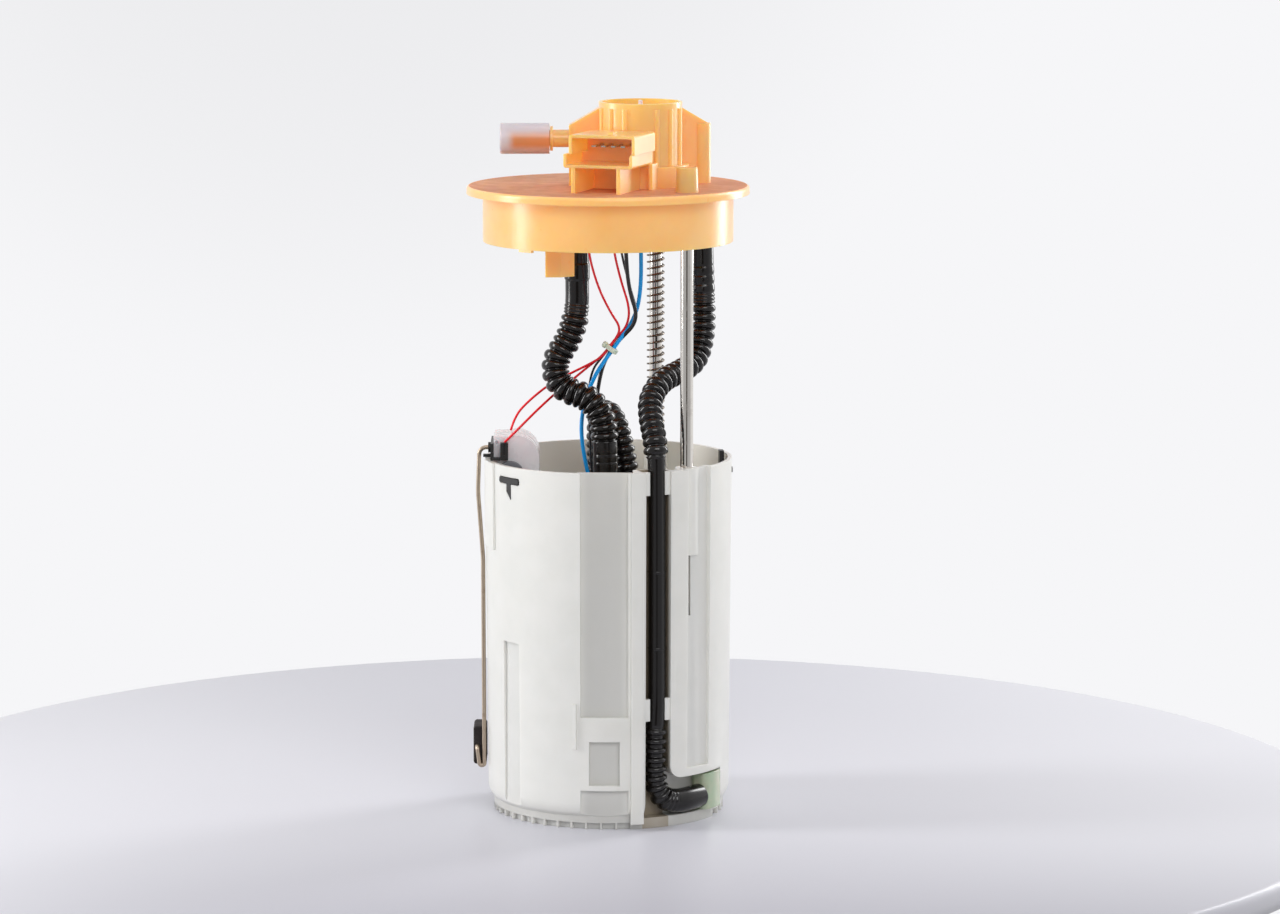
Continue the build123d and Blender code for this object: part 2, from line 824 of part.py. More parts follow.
spring_low = cup_height + spring_washer + 0.1
with BuildPart() as spring:
    with BuildLine(Plane.XY.offset(spring_low + spring_wire / 2)) as coil:
        Helix(
            spring_pitch,
            disc_bottom - 0.1 - spring_wire - spring_low,
            spring_outer_radius - spring_wire / 2,
            center=(rear_rod[0], rear_rod[1], 0),
        )
    with BuildSketch(Plane(origin=coil.line @ 0, z_dir=coil.line % 0)):
        RegularPolygon(spring_wire / 2, 6)
    sweep(is_frenet=True)
finish(spring, "spring")

# ---------------------------------------------------------------- pump and what holds it

with BuildPart() as pump_can:
    with Locations((pump_axis[0], pump_axis[1], can_bottom)):
        Cylinder(pump_radius, can_top - can_bottom, align=(Align.CENTER, Align.CENTER, Align.MIN))
    fillet(pump_can.edges().filter_by(GeomType.CIRCLE), 1.2)
finish(pump_can, "pump_can")

with BuildPart() as pump_outlet_cap:
    with Locations((pump_axis[0], pump_axis[1], can_top + piece_gap)):
        Cylinder(
            pump_radius - 0.8,
            outlet_cap_top - can_top - piece_gap,
            align=(Align.CENTER, Align.CENTER, Align.MIN),
        )
    chamfer(pump_outlet_cap.edges().filter_by(GeomType.CIRCLE).sort_by(Axis.Z)[-1], 1.0)
    for outlet, bore in ((outlet_a, hose_bore), (outlet_b, hose_bore)):
        with Locations((outlet[0], outlet[1], outlet_cap_top - 1)):
            Cylinder(
                bore / 2 - spigot_clearance,
                outlet_spigot_top - outlet_cap_top + 1,
                align=(Align.CENTER, Align.CENTER, Align.MIN),
            )
            Cylinder(fuel_way, 60, mode=Mode.SUBTRACT)
finish(pump_outlet_cap, "pump_outlet_cap")

inlet_pipe_radius = 4.0
strainer_top = 16.0
with BuildPart() as pump_inlet_cover:
    with Locations((pump_axis[0], pump_axis[1], inlet_bottom)):
        Cylinder(
            pump_radius - 0.6,
            can_bottom - piece_gap - inlet_bottom,
            align=(Align.CENTER, Align.CENTER, Align.MIN),
        )
    chamfer(pump_inlet_cover.edges().filter_by(GeomType.CIRCLE).sort_by(Axis.Z)[0], 3.0)
    with Locations((pump_axis[0] - 6, pump_axis[1] + 5, strainer_top - 3)):
        Cylinder(
            inlet_pipe_radius,
            inlet_bottom - strainer_top + 4,
            align=(Align.CENTER, Align.CENTER, Align.MIN),
        )
finish(pump_inlet_cover, "pump_inlet_cover")

with BuildPart() as inlet_strainer:
    with BuildSketch(Plane.XY.offset(strainer_bottom)):
        with Locations((pump_axis[0] - 4, pump_axis[1] + 3)):
            SlotCenterToCenter(26, 26, rotation=130)
    extrude(amount=strainer_top - strainer_bottom)
    fillet(inlet_strainer.edges().group_by(Axis.Z)[-1], 2.2)
    fillet(inlet_strainer.edges().group_by(Axis.Z)[0], 2.2)
    with Locations((pump_axis[0] - 6, pump_axis[1] + 5, strainer_top - 3 - 0.2)):
        Cylinder(
            inlet_pipe_radius + 0.12,
            10,
            align=(Align.CENTER, Align.CENTER, Align.MIN),
            mode=Mode.SUBTRACT,
        )
finish(inlet_strainer, "inlet_strainer")

with BuildPart() as pump_sleeve:
    with BuildSketch(Plane.XY.offset(sleeve_bottom)):
        with Locations(pump_axis):
            Circle(sleeve_radius)
            Circle(pump_radius + 0.1, mode=Mode.SUBTRACT)
    extrude(amount=sleeve_top - sleeve_bottom)
    with BuildSketch(Plane.XY.offset(sleeve_bottom)):
        with Locations(pump_axis):
            Circle(holder_ring_radius - 0.4)
            Circle(pump_radius + 0.1, mode=Mode.SUBTRACT)
    extrude(amount=holder_bottom - sleeve_bottom - 0.2)
finish(pump_sleeve, "pump_sleeve")

regulator_place = (-5.0, 22.0)
regulator_radius = 9.5
regulator_top = 138.0
with BuildPart() as pump_holder:
    with Locations((pump_axis[0], pump_axis[1], holder_bottom)):
        Cylinder(
            holder_ring_radius,
            holder_top - holder_bottom,
            align=(Align.CENTER, Align.CENTER, Align.MIN),
        )
    with Locations((regulator_place[0], regulator_place[1], holder_top - holder_arm_height)):
        Cylinder(
            regulator_radius + 1.8,
            holder_arm_height + 5,
            align=(Align.CENTER, Align.CENTER, Align.MIN),
        )
    for latch_angle in latch_angles:
        end_x = (leg_radius - 1) * sin(radians(latch_angle))
        end_y = -(leg_radius - 1) * cos(radians(latch_angle))
        arm_x = end_x - pump_axis[0]
        arm_y = end_y - pump_axis[1]
        middle = Location(
            (pump_axis[0] + arm_x / 2, pump_axis[1] + arm_y / 2, holder_bottom),
            (0, 0, degrees(atan2(arm_y, arm_x))),
        )
        with Locations(middle):
            Box(
                hypot(arm_x, arm_y),
                holder_arm_width,
                holder_arm_height,
                align=(Align.CENTER, Align.CENTER, Align.MIN),
            )
        with Locations(around(latch_angle, leg_radius, holder_bottom)):
            Box(
                leg_width,
                leg_thickness,
                tee_top - holder_bottom,
                align=(Align.CENTER, Align.MIN, Align.MIN),
            )
        with BuildSketch(face_plane(latch_angle, leg_radius)):
            latch_face(0)
        extrude(amount=cup_outer(tee_top) - leg_radius)
    with Locations(around(latch_angles[1], leg_radius, tee_top - 1)):
        Box(5.0, leg_thickness, 8.5, align=(Align.CENTER, Align.MIN, Align.MIN))
    with Locations((pump_axis[0], pump_axis[1], holder_bottom - 1)):
        Cylinder(
            sleeve_radius + 0.15,
            40,
            align=(Align.CENTER, Align.CENTER, Align.MIN),
            mode=Mode.SUBTRACT,
        )
    with Locations((regulator_place[0], regulator_place[1], holder_top)):
        Cylinder(
            regulator_radius + 0.15,
            40,
            align=(Align.CENTER, Align.CENTER, Align.MIN),
            mode=Mode.SUBTRACT,
        )
finish(pump_holder, "pump_holder")

with BuildPart() as pressure_regulator:
    with Locations((regulator_place[0], regulator_place[1], holder_top + piece_gap)):
        Cylinder(
            regulator_radius,
            regulator_top - holder_top - piece_gap,
            align=(Align.CENTER, Align.CENTER, Align.MIN),
        )
    fillet(pressure_regulator.edges().filter_by(GeomType.CIRCLE), 1.5)
    with Locations((regulator_place[0], regulator_place[1], holder_top + 20)):
        Cylinder(regulator_radius + 1.2, 2.0)
    with Locations((regulator_place[0], regulator_place[1], regulator_top - 1)):
        Cylinder(spigot_radius, 13, align=(Align.CENTER, Align.CENTER, Align.MIN))
finish(pressure_regulator, "pressure_regulator")

plug_top = 128.0
with BuildPart() as pump_plug:
    with Locations((-3.3, 3.0, outlet_cap_top + piece_gap)):
        Box(8.6, 7.2, plug_top - outlet_cap_top - piece_gap, align=(Align.CENTER, Align.CENTER, Align.MIN))
    fillet(pump_plug.edges().filter_by(Axis.Z), 1.0)
finish(pump_plug, "pump_plug")

with BuildPart() as foot_valve:
    with Locations((-26, 12, cup_floor_top + 0.1)):
        Cylinder(8.0, 1.4, align=(Align.CENTER, Align.CENTER, Align.MIN))
    fillet(foot_valve.edges().filter_by(GeomType.CIRCLE).sort_by(Axis.Z)[-1], 0.9)
    with Locations((-26, 12, cup_floor_bottom)):
        Cylinder(4.9, cup_floor + 0.5, align=(Align.CENTER, Align.CENTER, Align.MIN))
finish(foot_valve, "foot_valve")

# ---------------------------------------------------------------- jet pump fitting

fitting_start = 52.6
fitting_end = 66.4
fitting_axis_height = 12.4
fitting_back_radius = channel_floor_radius + 0.3
fitting_top = foot_bay_top - 1.0
return_hose_path_radius = 56.4
with BuildPart() as jet_fitting:
    ring_block(
        fitting_back_radius,
        cup_base_radius + 0.4,
        fitting_start,
        fitting_end,
        cup_floor_bottom + 0.9,
        fitting_top - cup_floor_bottom - 0.9,
    )
    fillet(jet_fitting.edges().filter_by(Axis.Z).sort_by(Axis.Y)[0:2], 3.0)
    with Locations(
        Location(around(fitting_start + 1, return_hose_path_radius, fitting_axis_height))
        * Location((0, 0, 0), (0, -90, 0))
    ):
        Cylinder(return_spigot_radius, 6, align=(Align.CENTER, Align.CENTER, Align.MIN))
finish(jet_fitting, "jet_fitting")

# ---------------------------------------------------------------- level sender and float arm

dome_radius = (housing_right - housing_left) / 2 + 0.35
dome_place = (housing_right - dome_radius, housing_top - dome_radius)
with BuildPart() as sender_housing:
    with BuildSketch(Plane.XZ.offset(-housing_back)):
        with Locations(((housing_left + housing_right) / 2, (housing_bottom + dome_place[1]) / 2)):
            Rectangle(housing_right - housing_left, dome_place[1] - housing_bottom)
        with Locations(dome_place):
            Circle(dome_radius)
        with Locations((housing_left, housing_top - 0.7)):
            Rectangle(9, 24, align=(Align.MIN, Align.MAX))
        with Locations((housing_left, pivot_height)):
            Rectangle(20, 80, align=(Align.MAX, Align.CENTER), mode=Mode.SUBTRACT)
    extrude(amount=housing_back - housing_front)
    fillet(sender_housing.edges().filter_by(Axis.Y).sort_by(Axis.Z)[0:2], 1.0)
    with Locations(Location((housing_left - 1, 0, pivot_height), (0, 90, 0))):
        Cylinder(
            hub_radius + 0.5,
            9.5,
            align=(Align.CENTER, Align.CENTER, Align.MIN),
            mode=Mode.SUBTRACT,
        )
    with Locations((housing_left + 1.6, housing_front, housing_top - 3.6)):
        Cylinder(0.8, 4, rotation=(90, 0, 0), mode=Mode.SUBTRACT)
finish(sender_housing, "sender_housing")

card_face = housing_left + 8.5
with BuildPart() as sender_card:
    with BuildSketch(Plane.YZ.offset(card_face - 0.1)):
        with Locations((0, pivot_height)):
            Circle(hub_radius + 0.3)
    extrude(amount=-0.8)
finish(sender_card, "sender_card")

hub_right = card_face - 2.2
with BuildPart() as sender_hub:
    with Locations(Location((housing_left + 0.3, 0, pivot_height), (0, 90, 0))):
        Cylinder(hub_radius, hub_right - housing_left - 0.3, align=(Align.CENTER, Align.CENTER, Align.MIN))
    with Locations(Location((housing_left - 3.0, 0, pivot_height), (0, 90, 0))):
        Cylinder(journal_radius, 4.0, align=(Align.CENTER, Align.CENTER, Align.MIN))
    with Locations(Location((housing_left - 4.0, 0, pivot_height), (0, 90, 0))):
        Cylinder(
            arm_radius + 0.05,
            8.2,
            align=(Align.CENTER, Align.CENTER, Align.MIN),
            mode=Mode.SUBTRACT,
        )
finish(sender_hub, "sender_hub")

with BuildPart() as sender_wiper:
    with Locations((hub_right + 0.1, 0, pivot_height)):
        Box(0.4, 3.0, 2 * hub_radius - 2, align=(Align.MIN, Align.CENTER, Align.CENTER))
    with Locations((hub_right + 0.3, 0, pivot_height + hub_radius - 2.2)):
        Box(card_face - 1.1 - hub_right - 0.3, 3.0, 0.5, align=(Align.MIN, Align.CENTER, Align.CENTER))
finish(sender_wiper, "sender_wiper")

with BuildPart() as sender_bracket:
    with Locations((housing_left - 0.2, -4.3, cup_height + 0.4)):
        Box(
            bracket_thickness,
            bracket_length,
            8.4,
            align=(Align.MAX, Align.CENTER, Align.MIN),
        )
        Box(5.2, 3.0, 1.3, align=(Align.MAX, Align.CENTER, Align.MIN))
    with Locations((housing_left - 0.2 - bracket_thickness, housing_front - 3.6, cup_height + 0.4)):
        Box(4.8, 3.3, 1.4, align=(Align.MIN, Align.MIN, Align.MIN))
    with Locations(Location((housing_left - 4, 0, pivot_height), (0, 90, 0))):
        Cylinder(
            journal_radius + 0.06,
            8,
            align=(Align.CENTER, Align.CENTER, Align.MIN),
            mode=Mode.SUBTRACT,
        )
finish(sender_bracket, "sender_bracket")

terminal_place = (-51.5, housing_front - 0.15)
with BuildPart() as sender_terminals:
    with Locations((terminal_place[0], terminal_place[1], cup_height + 0.5)):
        Box(3.8, 3.2, 8.6, align=(Align.CENTER, Align.MAX, Align.MIN))
    with Locations((terminal_place[0], terminal_place[1] - 3.2, cup_height + 3)):
        Box(1.0, 1.6, 6, align=(Align.CENTER, Align.CENTER, Align.MIN), mode=Mode.SUBTRACT)
finish(sender_terminals, "sender_terminals")

with BuildPart() as sender_disc:
    with Locations(Location((-48.6, housing_front - 0.15, 170.4), (90, 0, 0))):
        Cylinder(6.9, 2.2, align=(Align.CENTER, Align.CENTER, Align.MIN))
    fillet(sender_disc.edges().filter_by(GeomType.CIRCLE).sort_by(Axis.Y)[0], 0.5)
finish(sender_disc, "sender_disc")

arm_pin = (-66.0, 30.0)
arm_points = [
    (housing_left + 3.5, 0.0, pivot_height),
    (-64.2, 0.0, pivot_height),
    (-65.0, 0.0, pivot_height - 22.0),
    (-62.6, 0.0, 126.0),
    (-62.4, 0.0, 20.6),
    (-64.8, 0.0, 20.6),
    (arm_pin[0], 0.0, arm_pin[1]),
    (arm_pin[0], float_centre[1] + float_length / 2 - 2.0, arm_pin[1]),
]
with BuildPart() as float_arm_wire:
    with BuildLine() as arm_route:
        FilletPolyline(*arm_points, radius=[3.6, 60.0, 60.0, 1.1, 1.2, 1.8])
    with BuildSketch(Plane(origin=arm_points[0], z_dir=(-1, 0, 0))):
        Circle(arm_radius)
    sweep()
finish(float_arm_wire, "float_arm_wire")

with BuildPart() as float_body:
    with BuildSketch(Plane.XZ.offset(-float_centre[1] - float_length / 2)):
        with Locations((float_centre[0], float_centre[2])):
            Rectangle(float_width, float_height)
    extrude(amount=float_length)
    fillet(float_body.edges().filter_by(Axis.Y), 1.5)
    fillet(float_body.edges().group_by(Axis.Y)[0], 1.0)
    fillet(float_body.edges().group_by(Axis.Y)[-1], 1.4)
    with Locations((arm_pin[0], float_centre[1] - 2.0, arm_pin[1])):
        Cylinder(arm_radius + 0.1, float_length, rotation=(90, 0, 0), mode=Mode.SUBTRACT)
finish(float_body, "float")

# ---------------------------------------------------------------- hoses and wires


def bend_radii(points, share=0.45):
    """Largest radii that the runs either side of each corner leave room for."""
    radii = []
    for before, here, after in zip(points, points[1:], points[2:]):
        run_in = Vector(*here) - Vector(*before)
        run_out = Vector(*after) - Vector(*here)
        half_turn = radians(run_in.get_angle(run_out)) / 2
        radii.append(share * min(run_in.length, run_out.length) / tan(half_turn))
    return radii


def cord(name, points, radius, bore=0.0):
    """One hose or wire along straight runs joined by tangent arcs."""
    radii = bend_radii(points)
    with BuildPart() as piece:
        with BuildLine() as route:
            FilletPolyline(*points, radius=radii)
        start = Vector(*points[1]) - Vector(*points[0])
        with BuildSketch(Plane(origin=points[0], z_dir=start)):
            Circle(radius)
            if bore:
                Circle(bore, mode=Mode.SUBTRACT)
        sweep()
    length = sum(edge.length for edge in route.edges())
    expected = pi * (radius**2 - bore**2) * length
    finish(piece, name)
    print(f"{name}: length {length:.1f}, volume ratio {piece.part.volume / expected:.4f}, "
          f"radii {[round(r, 1) for r in radii]}")
    return length


supply_points = [
    (supply_spigot[0], supply_spigot[1], spigot_top - 0.3),
    (-15.5, 0.1, 270.0),
    (-15.2, -0.3, 251.0),
    (-19.0, -1.8, 237.0),
    (-27.5, -5.0, 225.0),
    (-24.0, -8.0, 212.5),
    (-10.5, -11.0, 209.0),
    (-3.0, -12.6, 200.0),
    (-1.3, -13.2, 184.0),
    (-1.6, -13.0, 160.0),
    (outlet_a[0], outlet_a[1], outlet_cap_top + 0.3),
]
cord("supply_hose", supply_points, supply_hose_radius, hose_bore / 2)

link_points = [
    (outlet_b[0], outlet_b[1], outlet_cap_top + 0.3),
    (11.53, 0.55, 139.0),
    (10.8, 1.2, 156.0),
    (9.3, 1.8, 170.0),
    (6.2, 3.6, 186.0),
    (3.2, 8.2, 194.5),
    (-0.4, 13.8, 198.5),
    (-4.6, 20.8, 195.5),
    (-5.2, 22.4, 181.0),
    (-4.9, 21.9, 160.0),
    (regulator_place[0], regulator_place[1], regulator_top + 0.3),
]
cord("link_hose", link_points, link_hose_radius, hose_bore / 2)

return_upper_points = [
    (post_centre[0], post_centre[1], spigot_top - 0.3),
    (46.54, 12.05, 271.0),
    (46.6, 11.2, 255.0),
    (45.6, 7.0, 243.0),
    (41.5, -1.0, 233.0),
    (34.5, -12.0, 225.0),
    (26.0, -24.0, 216.0),
    (20.6, -33.0, 208.5),
    (20.6, -41.5, 201.0),
    (21.7, -48.0, 194.0),
    (22.24, -50.42, 186.5),
    (22.24, -50.42, 178.6),
]
return_slim_points = [
    return_upper_points[-1],
    (22.24, -50.42, 66.0),
    (22.68, -51.42, 56.0),
    (22.68, -51.42, 47.0),
]
return_lower_points = [
    return_slim_points[-1],
    (22.68, -51.42, 24.0),
    (25.2, -50.8, 15.2),
    (31.8, -47.6, 12.2),
    (39.2, -42.3, 12.3),
    tuple(around(fitting_start - 0.5, return_hose_path_radius, fitting_axis_height).position),
]


def hose_section(points, radius, bore):
    """Stretch of the return hose, added to the open part."""
    with BuildLine(mode=Mode.PRIVATE) as route:
        FilletPolyline(*points, radius=bend_radii(points))
    start = Vector(*points[1]) - Vector(*points[0])
    with BuildSketch(Plane(origin=points[0], z_dir=start), mode=Mode.PRIVATE) as section:
        Circle(radius)
        Circle(bore, mode=Mode.SUBTRACT)
    sweep(section.sketch, path=route.line)
    return sum(edge.length for edge in route.edges())


with BuildPart() as return_hose:
    return_length = hose_section(return_upper_points, return_hose_radius, return_hose_bore / 2)
    return_length += hose_section(return_slim_points, return_slim_radius, return_hose_bore / 2)
    return_length += hose_section(return_lower_points, return_hose_radius, return_hose_bore / 2)
finish(return_hose, "return_hose")
print(f"return_hose: length {return_length:.1f}")

tie_centre = Vector(1.5, 2.0, 231.0)
tie_dir = Vector(-0.58, 0.05, -0.81).normalized()
tie_side = Vector(0, 1, 0)
tie_up = tie_dir.cross(tie_side)
tie_half = 5.0


def through_tie(across, side):
    """Two points that carry a wire straight through the cable tie."""
    offset = tie_up * across + tie_side * side
    return [
        tuple(tie_centre + offset - tie_dir * tie_half),
        tuple(tie_centre + offset + tie_dir * tie_half),
    ]


wire_start = disc_bottom - wire_block_depth - 0.3
plug_end = plug_top + 0.3
wires = {
    "red_wire_upper": (
        thin_wire,
        [(-10.8, -15, wire_start), (-10.6, -13, 284), (-5.5, -8, 264), (1.0, -3, 250), (6.4, -1.2, 241.8)]
        + through_tie(-1.2, -1.2)
        + [(-9.0, 2.6, 223.5), (-18, 3.6, 219), (-29.6, 3.5, 213), (-39.5, 3.0, 205.0), (-46.5, 2.4, 197.5)]
        + [(-48.6, 2.0, housing_top + 0.2)],
    ),
    "red_wire_lower": (
        thin_wire,
        [(1.2, -15, wire_start), (2.0, -13, 285), (6.0, -9, 267), (10.8, -5, 252), (9.3, 0.3, 242.2)]
        + through_tie(-1.5, 0.1)
        + [(-9.2, 4.2, 222.5), (-17, 4.2, 216), (-26.3, 0.6, 209), (-34.5, -8.0, 202.5)]
        + [(-41.5, -16.0, 196.5), (-47.0, -17.6, 191.0), (-51.3, -16.9, 186.9)],
    ),
    "black_wire_thin": (
        thin_wire,
        [(4.0, -15, wire_start), (5.5, -10, 284), (10.8, -2.5, 262), (15.2, 4.5, 247.5)]
        + through_tie(-1.1, 1.5)
        + [(-5.0, 6.6, 219), (-8.2, 8.2, 205), (-9.2, 8.5, 190), (-8.5, 7.6, 168), (-6.0, 5.2, 148)]
        + [(-5.4, 4.6, plug_end)],
    ),
    "black_wire_thick": (
        thick_wire,
        [(8.2, -15, wire_start), (8.5, -12.5, 284), (10.5, -7, 262), (13.4, 2.5, 244)]
        + through_tie(0.5, 1.1)
        + [(-4.0, 4.6, 218), (-6.2, 5.1, 203), (-6.5, 5.0, 185), (-5.0, 4.5, 165), (-2.0, 3.6, 146)]
        + [(-0.9, 3.0, plug_end)],
    ),
    "blue_wire": (
        thick_wire,
        [(15.8, -15, wire_start), (15.7, -12, 285), (15.3, -6, 262), (14.2, -1, 246.5)]
        + through_tie(0.7, -1.0)
        + [(-6.5, 2.4, 218), (-11.5, 3.0, 206), (-13.8, 3.0, 193), (-12.5, 2.8, 179), (-9.0, 2.0, 163)]
        + [(-5.5, 1.4, 146), (-4.6, 1.2, plug_end)],
    ),
}
for wire_name, (wire_size, wire_points) in wires.items():
    cord(wire_name, wire_points, wire_size / 2)

tie_inner = 2.75
tie_wall = 0.9
tie_width = 2.6
tie_plane = Plane(origin=tie_centre - tie_dir * (tie_width / 2), x_dir=tie_up, z_dir=tie_dir)
with BuildPart() as cable_tie:
    with BuildSketch(tie_plane):
        Circle(tie_inner + tie_wall)
        with Locations((-tie_inner - 1.6, 0)):
            Rectangle(3.4, 4.4)
        Circle(tie_inner, mode=Mode.SUBTRACT)
    extrude(amount=tie_width)
finish(cable_tie, "cable_tie")
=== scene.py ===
"""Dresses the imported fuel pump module: finishes, hoses, wires, spring, studio and camera."""

from __future__ import annotations

import logging
import math
from collections.abc import Iterable, Sequence
from dataclasses import dataclass, field
from enum import Enum
from functools import cached_property
from typing import Any

import bmesh
import bpy
from mathutils import Euler, Matrix, Vector

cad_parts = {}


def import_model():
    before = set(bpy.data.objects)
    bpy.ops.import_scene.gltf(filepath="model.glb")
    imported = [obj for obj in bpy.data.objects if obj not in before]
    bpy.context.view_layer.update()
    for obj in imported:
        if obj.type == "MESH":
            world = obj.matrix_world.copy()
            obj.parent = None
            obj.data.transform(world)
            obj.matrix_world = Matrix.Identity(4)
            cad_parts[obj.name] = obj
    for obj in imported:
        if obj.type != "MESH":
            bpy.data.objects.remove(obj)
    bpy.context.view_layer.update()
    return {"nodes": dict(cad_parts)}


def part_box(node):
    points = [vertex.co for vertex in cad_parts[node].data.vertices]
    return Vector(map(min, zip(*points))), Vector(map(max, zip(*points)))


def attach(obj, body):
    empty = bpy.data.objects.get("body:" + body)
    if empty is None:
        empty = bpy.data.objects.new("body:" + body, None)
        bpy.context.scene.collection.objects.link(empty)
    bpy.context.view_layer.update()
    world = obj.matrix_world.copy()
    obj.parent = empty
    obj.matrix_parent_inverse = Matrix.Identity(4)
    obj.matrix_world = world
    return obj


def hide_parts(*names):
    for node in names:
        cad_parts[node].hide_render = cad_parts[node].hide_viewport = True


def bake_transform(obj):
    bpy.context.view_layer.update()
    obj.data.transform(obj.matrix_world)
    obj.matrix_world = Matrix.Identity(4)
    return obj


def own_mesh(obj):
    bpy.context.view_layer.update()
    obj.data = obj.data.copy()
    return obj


LOG = logging.getLogger("fuel_pump_module")
MM = 0.001

Triple = tuple[float, float, float]
Settings = dict[str, Any]
Inputs = dict[Any, Any]
Frame = tuple[Vector, Vector, Vector]
Ring = list[bmesh.types.BMVert]
BLACK: Triple = (0.0, 0.0, 0.0)
EVEN: Triple = (1.0, 1.0, 1.0)
UPWARD = Vector((0.0, 0.0, 1.0))


def tint(*display: int) -> Triple:
    """Turn a colour written as display values from 0 to 255 into the linear one.

    Args:
        display: Red, green and blue.

    Returns:
        The same colour as linear numbers from 0 to 1.
    """
    shares = [value / 255 for value in display]
    return tuple(share / 12.92 if share <= 0.04045 else ((share + 0.055) / 1.055) ** 2.4 for share in shares)


def metres(place: Sequence[float]) -> tuple[float, ...]:
    """Turn a place in millimetres into metres."""
    return tuple(MM * value for value in place)


def opaque(colour: Triple) -> tuple[float, float, float, float]:
    """Add a full alpha to a colour."""
    return (*colour, 1.0)


# ---------- shader maths


class Flow:
    """An output socket that takes part in sums, so that shader maths reads as maths."""

    def __init__(self, graph: Graph, socket: bpy.types.NodeSocket) -> None:
        """Keep the graph and the socket that the value comes from."""
        self.graph = graph
        self.socket = socket

    def _maths(self, operation: str, *values: Any) -> Flow:
        """Add one Math node.

        Args:
            operation: The node's operation.
            values: Its inputs in order, numbers or flows.

        Returns:
            The node's result.
        """
        return self.graph.add("ShaderNodeMath", {"operation": operation}, dict(enumerate(values)))

    def __add__(self, other: Any) -> Flow:
        """Add a number or a flow."""
        return self._maths("ADD", self, other)

    __radd__ = __add__

    def __sub__(self, other: Any) -> Flow:
        """Take a number or a flow away."""
        return self._maths("SUBTRACT", self, other)

    def __rsub__(self, other: Any) -> Flow:
        """Take this flow away from a number."""
        return self._maths("SUBTRACT", other, self)

    def __mul__(self, other: Any) -> Flow:
        """Multiply by a number or a flow."""
        return self._maths("MULTIPLY", self, other)

    __rmul__ = __mul__

    def sine(self) -> Flow:
        """Give the sine."""
        return self._maths("SINE", self)

    def size(self) -> Flow:
        """Give the size without its sign."""
        return self._maths("ABSOLUTE", self)

    def largest(self, other: Any) -> Flow:
        """Give the larger of two values."""
        return self._maths("MAXIMUM", self, other)

    def step(self, low: float, high: float) -> Flow:
        """Rise smoothly from 0 at one value to 1 at another.

        Args:
            low: The value where the result is 0.
            high: The value where it is 1, which may be the smaller number.

        Returns:
            A mask from 0 to 1.
        """
        settings = {"interpolation_type": "SMOOTHSTEP"}
        ends = {"From Min": low, "From Max": high}
        if low > high:
            ends = {"From Min": high, "From Max": low, "To Min": 1.0, "To Max": 0.0}
        return self.graph.add("ShaderNodeMapRange", settings, {"Value": self, **ends})


